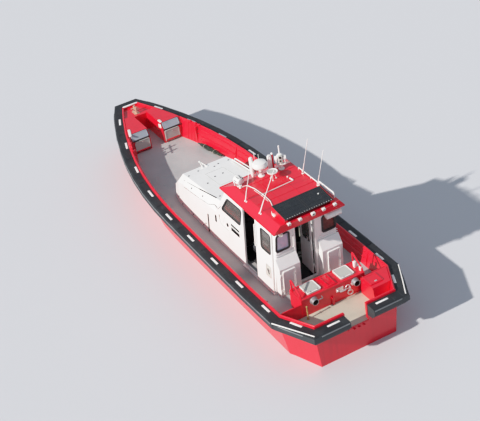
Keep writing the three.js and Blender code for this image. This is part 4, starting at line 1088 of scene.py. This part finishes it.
def aft_door_fittings():
    """Frame, sill, handle and flange of the aft door, the floodlight above and the rail beside it."""
    outline = [(-0.215, 0.06), (0.27, 0.06), (0.27, 1.63), (-0.215, 1.63)]
    part.rim(climb(outline, AFT_LEAN), 0.02, 0.0, 0.04, 0.016, on_aft(-0.001), 0.004)
    part.box((-0.22, 0.07, -0.09), (-0.2165, 1.625, -0.038), 0.001, on_aft())
    part.piece("aft_door_frame", WHITE)
    part.box((-0.21, 0.0, 0), (0.265, 0.055, 0.05), 0.008, on_aft(-0.01))
    part.piece("aft_door_sill", PANEL_GREY)

    lamp = on_aft() @ at(0.66, 1.67, 0.0)
    head = lamp @ at(0, -0.01, 0.07) @ turn(-0.5, "X")
    shell = [
        (0, -0.03), (0.03, -0.025), (0.048, 0.015), (0.048, 0.036), (0.04, 0.036), (0.038, 0.024), (0, 0.024),
    ]
    part.box((-0.02, -0.03, -0.002), (0.02, 0.03, 0.05), 0.004, lamp)
    part.turned(shell, head)
    part.piece("aft_floodlight", WHITE_PLASTIC)
    part.turned([(0, 0.016), (0.0375, 0.016), (0.0375, 0.026), (0.024, 0.032), (0, 0.034)], head)
    part.piece("aft_floodlight_lens", LENS)

    rail = [(0, 0, -0.003), (0, 0, 0.045), (0, 0.3, 0.045), (0, 0.3, -0.003)]
    part.pipe(bend(rail, 0.03), 0.011, place=on_aft() @ at(0.345, 1.15, 0))
    part.piece("aft_grab_rail", WHITE_PLASTIC)
    inner = at(2.02, -0.151, DECK + 0.98)
    part.box((-0.03, 0.0, -0.05), (0.03, 0.008, 0.05), 0.003, inner)
    part.rod((0, 0.004, 0), (0, 0.045, 0), 0.008, place=inner)
    part.rod((-0.005, 0.04, 0), (0.09, 0.04, 0), 0.008, place=inner)
    part.piece("aft_door_handle", STEEL, "aft_door")
    part.box((-0.159, 0.075, -0.07), (-0.151, 1.62, -0.044), 0.001, on_aft())
    part.piece("aft_door_flange", WHITE, "aft_door")


# The roof.
def roof_fittings():
    """Conduits, seams, handrails and the drip edge of the roof."""
    crown = ROOF + 0.01
    glands = [(3.29, 0.66), (2.08, 0.52), (2.735, 0.41)]
    aft_run = [(3.29, 0.66), (3.28, 0.5), (3.04, 0.435), (2.7, 0.41), (2.4, 0.42), (2.08, 0.52)]
    cross_run = [(2.735, 0.4), (2.74, 0.28), (2.775, -0.385), (2.8, -0.382)]
    for line in (aft_run, cross_run):
        part.pipe(bend([(x, y, crown) for x, y in line], 0.05), 0.0105)
    part.pipe([(x, y, crown) for x, y in ((3.0, 0.475), (2.72, 0.455), (2.42, 0.46))], 0.006, roundness=1)
    part.rod((2.79, -0.385, crown), (2.9, -0.371, crown), 0.018)
    part.ball((2.98, -0.36, crown), 0.02)
    to_block = [(2.08, 0.52, crown), (2.03, 0.6, crown - 0.002), (1.97, 0.635, 2.745), (1.88, 0.635, 2.745)]
    part.pipe(to_block, 0.011)
    part.box((1.82, 0.607, 2.722), (1.93, 0.667, 2.766), 0.015)
    part.piece("roof_conduits", WHITE_PLASTIC)
    for x, y in glands:
        outline = [(0, 0), (0.028, 0), (0.028, 0.012), (0.018, 0.018), (0.016, 0.03), (0, 0.032)]
        part.turned(outline, at(x, y, ROOF - 0.001), 16)
    part.piece("cable_glands", WHITE_PLASTIC)
    for x in (2.46, 2.84, 3.26):
        part.box((x - 0.008, -0.71, -0.001), (x + 0.008, 0.71, 0.007), 0.002, at(0, 0, ROOF))
    for y in (-0.235, 0.235):
        part.box((2.03, y - 0.008, -0.001), (3.44, y + 0.008, 0.0065), 0.002, at(0, 0, ROOF))
    part.piece("roof_seams", RED)

    low_rail = (3.1, 2.32, (2.9, 2.6), -0.722, 0.045, 0.013)
    high_rail = (2.2, 1.62, (1.9,), -0.7, 0.13, 0.018)
    for fore, aft, posts, y, lift, radius in (low_rail, high_rail):
        feet = [top_of("roof", x, y)[0] for x in (fore, aft)]
        line = [feet[0] - UP * 0.004, feet[0] + UP * lift, feet[1] + UP * lift, feet[1] - UP * 0.004]
        part.pipe(bend(line, 0.03), radius)
        for x in posts:
            foot = top_of("roof", x, y)[0]
            part.rod(foot - UP * 0.004, (foot.x, foot.y, feet[0].z + lift), 0.01)
    part.piece("roof_handrails", WHITE_PLASTIC)
    for s in SIDES.values():
        part.pipe([(x, s * 0.878, 2.523) for x in (1.53, 3.9)], 0.012)
    part.pipe([(3.922, 0.87, 2.523), (3.922, -0.87, 2.523)], 0.012)
    part.piece("roof_drip_edge", RED)


def roof_panel_fittings():
    """The dark panel's cells, the dark strips along its edges and the clips on its aft edge."""
    sheet = at(1.735, 0, DECK + 2.142) @ turn(-math.atan2(0.065, 0.53), "Y")
    for y in (-0.29, 0.29):
        part.rim(oblong(0.5, 0.55), 0.02, 0.012, 0.0, 0.003, sheet @ at(0, y, 0), 0.001)
    for x in (-0.125, 0.0, 0.125):
        part.box((x - 0.002, -0.56, 0), (x + 0.002, 0.56, 0.0015), 0, sheet)
    for y in (-0.6025, 0.6025):
        part.box((-0.266, y - 0.0125, 0.008), (0.266, y + 0.0125, 0.018), 0.003, sheet)
    part.box((-0.275, -0.6, -0.03), (-0.267, 0.6, 0.004), 0.002, sheet)
    part.piece("roof_panel_cells", DARK)
    for k in range(19):
        y = -0.54 + 0.06 * k
        part.box((-0.276, y - 0.0045, -0.008), (-0.263, y + 0.0045, 0.005), 0.001, sheet)
    part.rod((0.05, -0.42, 0), (0.05, -0.42, 0.014), 0.016, place=sheet)
    part.piece("panel_clips", TAPE)


def work_lamps():
    """Five working lamps on a bar along the roof's aft edge, in place of the plain one."""
    bar_low, bar_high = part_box("lamp_bar")
    shells, lenses, mouth_shade = Build(), Build(), Build()
    part.box((bar_high.x - 0.018, -0.64, bar_low.z), (bar_high.x, 0.59, bar_low.z + 0.024), 0.004)
    small, large = (0.07, 0.05), (0.084, 0.074)
    with_posts = (0.27, -0.31)
    lamps = ((0.54, small), (0.27, small), (-0.05, large), (-0.31, small), (-0.59, small))
    for y, (wide, tall) in lamps:
        lamp = seat((bar_low.x + 0.062, y, ROOF - 0.008), (-1, 0, -0.25), TO_PORT)
        mouth = lamp @ at(0, 0, 0.045)
        shells.box((-wide / 2, -tall / 2, 0.006), (wide / 2, tall / 2, 0.046), 0.008, lamp)
        shells.rim(oblong(wide, tall), 0.01, 0.01, 0.002, 0.016, mouth, 0.002)
        # A black plate in each mouth is painted shade inside the lamp housing.
        mouth_shade.plate(oblong(wide - 0.016, tall - 0.016), 0.003, mouth, 0.006)
        for x in (-wide / 4, wide / 4):
            lenses.ball(lamp @ Vector((x, 0, 0.044)), wide * 0.19)
        if y in with_posts:
            shells.rod((0, 0.02, 0.03), (0, 0.075, 0.01), 0.012, place=lamp)
        reach = wide / 2 + 0.006
        yoke = [(-reach, 0, 0.025), (-reach, -0.012, -0.004), (reach, -0.012, -0.004), (reach, 0, 0.025)]
        shells.pipe(yoke, 0.004, roundness=1, place=lamp)
    part.piece("lamp_rail", RED, replaces=("lamp_bar",))
    shells.piece("work_lamp_shells", WHITE_PLASTIC)
    lenses.piece("work_lamp_lenses", LENS)
    mouth_shade.piece("work_lamp_mouth_shade", SHADE_BLACK)


def whip_aerials():
    """The port whips, whose feet stand on the roof's margin, and steel collars on the others."""
    for (x, y), rake in (((2.824, 0.776), (-0.4, -0.02, 1.09)), ((2.207, 0.774), (-0.3, -0.306, 1.128))):
        foot, out = top_of("roof", x, y)
        rake = Vector(rake)
        base = [(0, -0.004), (0.027, -0.004), (0.027, 0.01), (0.018, 0.016), (0.017, 0.05), (0, 0.055)]
        part.turned(base, seat(foot, out, AHEAD), 16)
        lower = foot + out * 0.03
        part.rod(lower, lower + rake * 0.28, 0.014, 0.011, sides=12)
        part.rod(lower + rake * 0.27, foot + rake, 0.009, 0.006, sides=10)
    part.piece("port_whips", WHITE_PLASTIC, replaces=("aerial_fore_port", "aerial_aft_port"))
    for x in (2.88, 2.26):
        collar = [(0.021, 0.018), (0.027, 0.02), (0.027, 0.05), (0.021, 0.054), (0.021, 0.018)]
        part.turned(collar, at(x, -0.7, ROOF), 16)
    part.piece("whip_collars", STEEL)


def radar_and_disc():
    """The radar's dome on a braced post, and the disc aerial on three legs with painted shade in its dish."""
    dome = at(3.42, 0.05, ROOF)
    post = [(0, -0.002), (0.075, 0), (0.075, 0.012), (0.035, 0.03), (0.032, 0.22), (0, 0.22)]
    shell = [
        (0, 0.215), (0.12, 0.215), (0.166, 0.242), (0.181, 0.275),
        (0.177, 0.302), (0.142, 0.358), (0.075, 0.383), (0, 0.389),
    ]
    part.turned(post, dome, 20)
    part.turned(shell, dome, 36)
    for angle in (0.6, 2.2, 3.9, 5.3):
        part.rod((0.032, 0, 0.08), (0.11, 0, 0.222), 0.009, sides=8, place=dome @ turn(angle, "Z"))
    part.piece("radar_dome", WHITE_PLASTIC, replaces=("radar",))
    band = [(0.158, 0.276), (0.1645, 0.278), (0.1645, 0.286), (0.158, 0.288), (0.158, 0.276)]
    part.turned(band, dome, 36)
    part.piece("radar_band", DARK)
    disc = at(3.13, -0.085, ROOF)
    dish = [
        (0, 0.165), (0.085, 0.165), (0.118, 0.182), (0.122, 0.2), (0.112, 0.206), (0.092, 0.19), (0, 0.186),
    ]
    part.turned(dish, disc, 36)
    for angle in (0.4, 2.5, 4.6):
        leg = disc @ turn(angle, "Z")
        part.rod((0.07, 0, -0.002), (0.03, 0, 0.17), 0.006, sides=8, place=leg)
        part.rod((0.07, 0, -0.002), (0.07, 0, 0.007), 0.02, place=leg)
    part.piece("disc_aerial", WHITE_PLASTIC)
    # A grey disc inside the rim is painted shade in the dish's hollow.
    part.turned([(0, 0.184), (0.088, 0.184), (0.088, 0.192), (0, 0.194)], disc, 30)
    part.piece("disc_aerial_dish_shade", PANEL_GREY)


def night_camera():
    """A forked head that looks aft, on a post, with a short mast behind it."""
    head = Vector((3.37, -0.44, ROOF + 0.28))
    face = seat(head, (-0.86, 0.46, 0.08), UP)
    post = [
        (0, -0.002), (0.07, 0), (0.07, 0.014), (0.045, 0.03),
        (0.042, 0.12), (0.06, 0.135), (0.06, 0.15), (0, 0.15),
    ]
    part.turned(post, seat((head.x, head.y, ROOF), UP, (-0.86, 0.46, 0)))
    for s in (1, -1):
        part.box((-0.15, s * 0.095 - 0.014, -0.045), (0.02, s * 0.095 + 0.014, 0.045), 0.01, face)
        part.rod((0, s * 0.075, 0), (0, s * 0.128, 0), 0.062, 0.055, sides=24, place=face)
    part.box((-0.155, -0.105, -0.045), (-0.13, 0.105, 0.045), 0.01, face)
    part.ball((0.02, 0, -0.02), 0.088, face)
    mast = head + Vector((0.05, -0.02, 0.05))
    part.rod(mast, mast + UP * 0.24, 0.018, 0.016)
    part.piece("night_camera_fork", WHITE_PLASTIC, replaces=("night_camera",))
    part.box((-0.1, -0.055, -0.06), (0.085, 0.055, 0.078), 0.02, face)
    part.piece("night_camera_head", PANEL_GREY)
    for x, radius in ((0.04, 0.032), (-0.04, 0.024)):
        pane = [(0, 0.076), (radius, 0.076), (radius * 0.9, 0.083), (0, 0.086)]
        part.turned(pane, face @ at(x, 0, 0), 20)
    part.piece("night_camera_windows", GLAZE)


def searchlight():
    """The searchlight's shell, foot, yoke, glass and fins."""
    lamp = at(3.385, 0.63, ROOF + 0.14) @ turn(math.pi / 2, "Y")
    shell = [
        (0, -0.09), (0.055, -0.08), (0.092, -0.02), (0.1, 0.06),
        (0.1, 0.08), (0.09, 0.08), (0.088, 0.06), (0, 0.06),
    ]
    part.turned(shell, lamp, 28)
    foot = [(0, -0.002), (0.06, 0), (0.06, 0.01), (0.02, 0.016), (0.018, 0.05), (0, 0.05)]
    part.turned(foot, at(3.385, 0.63, ROOF), 20)
    half_yoke = [(0.0, 0.112, 0.0), (0.085, 0.112, 0), (0.1, 0.06, 0)]
    part.pipe(half_yoke + [(x, -y, 0) for x, y, _ in reversed(half_yoke)], 0.01, place=lamp)
    for s in (1, -1):
        part.rod((0, s * 0.085, 0), (0, s * 0.124, 0), 0.02, place=lamp)
    part.piece("searchlight_head", WHITE_PLASTIC, replaces=("searchlight",))
    part.turned([(0, 0.055), (0.0885, 0.055), (0.0885, 0.068), (0.05, 0.076), (0, 0.079)], lamp, 28)
    part.piece("searchlight_glass", LENS)
    for angle in (0.35, 1.2, 1.94, 2.8):
        fin = lamp @ turn(math.pi / 2 + angle, "Z") @ at(0.09, 0, 0)
        part.box((-0.01, -0.003, -0.045), (0.016, 0.003, 0.045), 0.001, fin)
    part.piece("searchlight_fins", DARK)


def sensor_posts():
    """Two thick posts and two thin whips at the roof's fore end, and the red pole beside one post."""
    for x, y, radius, height in ((3.6, 0.17, 0.045, 0.5), (3.56, -0.265, 0.052, 0.38)):
        foot = top_of("roof", x, y)[0]
        outline = [(0, -0.02), (radius * 0.6, -0.02), (radius * 0.6, 0.04), (radius, 0.05)]
        outline += [(radius, height - 0.03), (radius * 0.7, height - 0.005), (0, height)]
        part.turned(outline, Matrix.Translation(foot), 20)
    pole_foot = foot - TO_PORT * 0.078
    part.ball(pole_foot + UP * 0.385, 0.028)
    for x, y, height in ((3.6, 0.075, 0.6), (3.5, 0.02, 0.52)):
        foot = top_of("roof", x, y)[0]
        base = [(0, -0.01), (0.026, -0.01), (0.026, 0.012), (0.013, 0.018), (0.012, 0.07), (0, 0.07)]
        part.turned(base, Matrix.Translation(foot), 16)
        part.rod(foot + UP * 0.05, foot + UP * height, 0.008, 0.005, sides=10)
    part.piece("sensor_posts", WHITE_PLASTIC)
    part.rod(pole_foot, pole_foot + UP * 0.36, 0.021)
    part.piece("sensor_pole", RED)


# The stern.
CASING_TOP = DECK + 0.46


def engine_hatch_fittings():
    """The pale border and the clasps of each engine hatch, which ride on it."""
    for side, s in SIDES.items():
        body = f"engine_hatch_{side}"
        place = at(1.091, s * 0.42, CASING_TOP + 0.0315)
        part.rim(oblong(0.372, 0.35), 0.04, 0.022, 0.0, 0.006, place, 0.002)
        part.piece(f"hatch_border_{side}", WHITE, body)
        for y in (-0.09, 0.09):
            part.box((-0.18, y - 0.014, 0), (-0.136, y + 0.014, 0.012), 0.004, place)
        part.piece(f"hatch_clasps_{side}", STEEL, body)


def casing_vents():
    """Two round vents in the casing's aft face, each with a black disc painted as the shade in its bore and a
    drain beside it.
    """
    sleeve = [
        (0.0, -0.002), (0.09, -0.002), (0.092, 0.008), (0.08, 0.02), (0.078, 0.085),
        (0.075, 0.1), (0.069, 0.104), (0.064, 0.1), (0.062, 0.07), (0.0, 0.07),
    ]
    bore = [(0, 0.09), (0.063, 0.09), (0.0645, 0.099), (0.06, 0.1), (0.056, 0.096), (0, 0.096)]
    bore_shade, drains = Build(), Build()
    for y in (0.505, -0.54):
        mouth = seat((0.845, y, DECK + 0.325), -AHEAD, TO_PORT)
        part.turned(sleeve, mouth, 32)
        # The black disc deep in each sleeve is painted shade inside the bore.
        bore_shade.turned(bore, mouth, 28)
        drain = [(0.765, y - 0.07), (0.765, y - 0.2), (0.848, y - 0.2)]
        drains.pipe(bend([(x, beside, DECK + 0.345) for x, beside in drain], 0.04), 0.01)
    part.piece("vent_sleeves", CAST)
    bore_shade.piece("vent_bore_shade", SHADE_BLACK)
    drains.piece("vent_drains", CAST)


def casing_fittings():
    """Ribs and edges of the engine casing, its foot strip, guards, post and lamps."""
    on_casing = at(0, 0, CASING_TOP)
    part.box((0.87, -0.12, -0.001), (1.26, 0.13, 0.02), 0.008, on_casing)
    for y in (-0.08, 0.09):
        part.box((0.9, y - 0.018, 0.018), (1.24, y + 0.018, 0.034), 0.006, on_casing)
    part.box((0.8, 0.02, DECK + 0.002), (0.846, 0.075, DECK + 0.2), 0.008)
    part.box((1.285, -0.79, -0.001), (1.318, 0.79, 0.007), 0.003, on_casing)
    part.pipe([(0.847, -0.79, CASING_TOP - 0.012), (0.847, 0.79, CASING_TOP - 0.012)], 0.014)
    part.piece("casing_ribs", RED)
    part.box((0.776, -0.64, DECK - 0.001), (0.846, 0.9, DECK + 0.004), 0.001)
    part.piece("casing_foot_strip", DECK_SAND)
    arch = [(1.24, 0.456), (1.25, 0.745), (1.205, 0.735), (0.9, 0.53), (0.888, 0.456)]
    for s in SIDES.values():
        part.pipe(bend([(x, s * 0.778, DECK + up) for x, up in arch], 0.03), 0.021)
    part.piece("casing_guards", RED)
    foot = Vector((0.735, 0.742, DECK))
    part.rod(foot - UP * 0.001, foot + UP * 0.012, 0.03)
    part.rod(foot, foot + UP * 0.33, 0.014)
    part.ball(foot + UP * 0.33, 0.022)
    part.rod(foot + Vector((-0.03, 0, 0.2)), foot + Vector((0.03, 0, 0.2)), 0.008)
    part.piece("bollard_post", YELLOW)
    lamps = ((1.11, -0.735, 0.035, 0.035, 0.15), (0.93, -0.765, 0.032, 0.028, 0.1))
    for x, y, half_x, half_y, height in lamps:
        part.box((x - half_x, y - half_y, -0.002), (x + half_x, y + half_y, height), 0.012, on_casing)
    part.piece("casing_lamps", WHITE_PLASTIC)


def stern_locker_fittings():
    """The raised border and the latch of the stern locker's lid, which ride on it."""
    place = at(0.574, -0.8255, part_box("stern_locker_lid")[1].z - 0.001)
    part.rim(oblong(0.29, 0.29), 0.03, 0.02, 0.0, 0.006, place, 0.002)
    part.piece("stern_lid_border", RED, "stern_locker_lid")
    part.box((-0.135, -0.03, 0), (-0.1, 0.03, 0.02), 0.005, place)
    part.piece("stern_lid_latch", STEEL, "stern_locker_lid")


def tow_hook_fittings():
    """Bolt heads of the hook's plate, a ring on a link, and the ends of the hook's pins."""
    hook = Vector((0.8447, -0.12, DECK + 0.3))
    for y in (-0.1, 0.045):
        for z in (-0.035, 0.035):
            part.rod(hook + Vector((-0.011, y, z)), hook + Vector((-0.022, y, z)), 0.011, sides=6)
    ring = Vector((0.79, -0.375, DECK + 0.15))
    part.pipe(around(ring, (0.012, 0.055, 0), UP * 0.055, 28), 0.014, closed=True)
    part.pipe(around(ring + UP * 0.1, AHEAD * 0.028, UP * 0.055, 20), 0.011, closed=True)
    part.ball(hook + Vector((-0.06, 0.05, 0.03)), 0.03)
    part.rod(hook + Vector((-0.05, -0.33, 0.0)), hook + Vector((0.002, -0.33, 0.0)), 0.02)
    part.piece("tow_hook_fittings", STEEL)


def stern_fittings():
    """The stern notch's edging, brackets inside the port quarter and the jets' flange bolts."""
    part.box((-0.088, -0.255, 0.706), (-0.062, 0.255, 0.734), 0.006)
    for s in SIDES.values():
        near, far = sorted((s * 0.252, s * 0.268))
        part.box((-0.07, near, 0.72), (0.03, far, 0.745), 0.004)
    part.piece("notch_edging", RED)
    for x in (1.2, 1.5):
        place = settle(wall_of(x, 0.7, 1), AHEAD)
        part.plate(oblong(0.09, 0.09), 0.012, place, 0.01, 0.003)
        part.rod((0, 0, 0.01), (0, 0, 0.035), 0.02, place=place)
    part.piece("quarter_brackets", RED)
    jet_y, jet_z, flange_radius, bolts = 0.37, -0.212, 0.1575, 10
    half_step = math.pi / bolts
    first = Vector((0, math.cos(half_step), math.sin(half_step))) * flange_radius
    second = Vector((0, -math.sin(half_step), math.cos(half_step))) * flange_radius
    for s in SIDES.values():
        spots = around((-0.027, s * jet_y, jet_z), first, second, bolts)
        part.rivets([(spot, -AHEAD) for spot in spots], 0.009, 0.012)
    part.piece("jet_flange_bolts", STEEL)


def canister_fittings():
    """Steel straps round the raft canister, its domed ends and the band at its middle."""
    middle = Vector((1.635, -0.64, DECK + 1.64))
    for y in (-0.11, 0.11):
        loop = around(middle + TO_PORT * y, AHEAD * 0.083, UP * 0.083, 28)
        part.pipe(loop, 0.0045, closed=True, roundness=1)
    part.piece("canister_straps", STEEL)
    dome = [(0, 0), (0.0815, 0), (0.084, 0.004), (0.07, 0.016), (0.035, 0.022), (0, 0.023)]
    band = [
        (0.0815, 0.0), (0.0822, -0.004), (0.085, -0.003), (0.085, 0.003), (0.0822, 0.004), (0.0815, 0.0),
    ]
    for s in (1, -1):
        part.turned(dome, seat(middle + TO_PORT * s * 0.1665, TO_PORT * s, UP), 32)
    part.turned(band, seat(middle, TO_PORT, UP), 32)
    part.piece("canister_ends", WHITE_PLASTIC)


# Inside the wheelhouse.
def cushion(name, low, high, place):
    """A padded cushion that swells between its edges."""
    made = Build()
    made.box(low, high, 0.02)
    bmesh.ops.subdivide_edges(made.bm, edges=made.bm.edges, cuts=2, use_grid_fill=True)
    low, high = Vector(low), Vector(high)
    middle, half = (low + high) / 2, (high - low) / 2
    for vert in made.bm.verts:
        share = [max(0.0, 1 - ((vert.co[k] - middle[k]) / half[k]) ** 2) for k in range(2)]
        vert.co.z += (vert.co.z - middle.z) * 0.3 * share[0] * share[1]
    bmesh.ops.transform(made.bm, matrix=place, verts=made.bm.verts)
    padded = made.piece(name, SEAT_VINYL, smooth_degrees=60)
    soften = padded.modifiers.new("soften", "SUBSURF")
    soften.levels = soften.render_levels = 1


def seats():
    """Two sprung seats on a plinth, each with cushions, arms and fastened belts."""
    belts = Build()
    plinth = at(3.05, 0, DECK)
    part.box((-0.26, -0.62, 0.0003), (0.26, 0.62, 0.06), 0.01, plinth)
    for side, s in SIDES.items():
        foot = plinth @ at(0, s * 0.38, 0)
        column = [(0, 0.055), (0.14, 0.055), (0.14, 0.075), (0.09, 0.09), (0.085, 0.33), (0, 0.33)]
        part.turned(column, foot, 28)
        for z in (0.1 + 0.035 * k for k in range(6)):
            part.turned([(0.08, z), (0.1, z + 0.017), (0.08, z + 0.034), (0.08, z)], foot, 24)
        part.box((-0.23, -0.215, 0.325), (0.235, 0.215, 0.37), 0.015, foot)
        lean = foot @ at(-0.2, 0, 0.4) @ turn(-math.atan2(0.07, 0.73), "Y")
        part.box((-0.035, -0.2, 0.0), (0.005, 0.2, 0.72), 0.015, lean)
        cushion(f"seat_cushion_{side}", (-0.21, -0.205, 0.37), (0.24, 0.205, 0.45), foot)
        back = lean @ turn(math.pi / 2, "Y")
        cushion(f"seat_back_{side}", (-0.5, -0.2, 0.005), (-0.04, 0.2, 0.07), back)
        cushion(f"seat_headrest_{side}", (-0.715, -0.15, 0.005), (-0.53, 0.15, 0.07), back)
        for y in (-0.235, 0.235):
            part.pipe(bend([(0.0, y * 0.85, 0.2), (0.02, y, 0.22), (0.3, y, 0.2)], 0.04), 0.018, place=lean)
        for y in (-0.07, 0.07):
            belt = [(-0.04, y * 0.2, 0.38), (-0.043, y, 0.6), (-0.02, y, 0.725), (0.02, y, 0.728)]
            belts.pipe(belt, 0.011, place=lean)
        belts.pipe([(-0.04, 0, 0.12), (-0.04, 0, 0.38)], 0.012, place=lean)
    part.piece("seat_frames", DARK, replaces=("helm_seats",))
    belts.piece("seat_harness", ROPE_PALE)


def mats_and_lining():
    """Dark floor mats, and lining cloth on the ceiling and between the windows and the floor, kept dark as
    painted shade of the dim inside.
    """
    for aft, fore in ((1.96, 2.78), (3.32, 3.88)):
        part.box((aft, -0.68, DECK + 0.0005), (fore, 0.68, DECK + 0.009), 0.003)
    part.piece("floor_mats", DARK)
    part.box((2.0, -0.6, 2.486), (3.8, 0.6, 2.498), 0.004)
    for s in SIDES.values():
        for aft, fore in ((2.02, 2.62), (3.3, 3.84)):
            heights = (DECK + 0.1, DECK + 0.92)
            low, high = (land("cabin", ((aft + fore) / 2, s * 0.2, z), TO_PORT * s)[0] for z in heights)
            way = (high - low).normalized()
            out = Vector((0, way.z * -s, way.y * s))
            place = seat((low + high) / 2 + out * 0.001, out, AHEAD)
            part.plate(oblong(fore - aft, (high - low).length), 0.006, place, 0.02, 0.002)
    part.piece("wheelhouse_lining", LINING)


def helm():
    """The screens, the wheel and the two levers on the console's sloping panel."""
    panel_low, panel_high = Vector((3.86, 0, DECK + 0.76)), Vector((3.96, 0, DECK + 0.9))
    slope = (panel_high - panel_low).normalized()
    dash = seat((panel_low + panel_high) / 2, (-slope.z, 0, slope.x), TO_PORT)
    glass = Build()
    for y in (0.0, -0.42):
        case = dash @ at(y, 0, 0)
        part.box((-0.15, -0.08, -0.002), (0.15, 0.08, 0.02), 0.006, case)
        glass.plate(oblong(0.26, 0.13), 0.003, case @ at(0, 0, 0.019), 0.006, 0.001)
    hub = dash @ at(0.38, 0, 0.09)
    part.pipe(around((0, 0, 0), AHEAD * 0.165, TO_PORT * 0.165, 32), 0.014, closed=True, place=hub)
    for end in around((0, 0, 0), TO_PORT * 0.16, AHEAD * -0.16, 3):
        part.rod((0, 0, -0.01), end, 0.01, place=hub)
    part.rod((0, 0, -0.095), (0, 0, 0.012), 0.028, place=hub)
    for y in (-0.2, -0.235):
        part.rod((y, 0.02, 0), (y, 0.03, 0.13), 0.008, place=dash)
        part.ball(dash @ Vector((y, 0.031, 0.135)), 0.018)
    part.piece("helm_controls", DARK)
    glass.piece("helm_screens", GLAZE)


photo_camera()
studio()
reflective_tapes()
fender_trim()
rail_capping()
bulwark_fittings()
scrambling_net()
bow_locker_fittings()
deck_hatch()
window_seals()
door_leaf_fittings()
trunk_seam_and_shade_lines()
trunk_louvres()
trunk_top()
wipers()
wall_locker_fittings()
aft_door_fittings()
roof_fittings()
roof_panel_fittings()
work_lamps()
whip_aerials()
radar_and_disc()
night_camera()
searchlight()
sensor_posts()
engine_hatch_fittings()
casing_vents()
casing_fittings()
stern_locker_fittings()
tow_hook_fittings()
stern_fittings()
canister_fittings()
seats()
mats_and_lining()
helm()
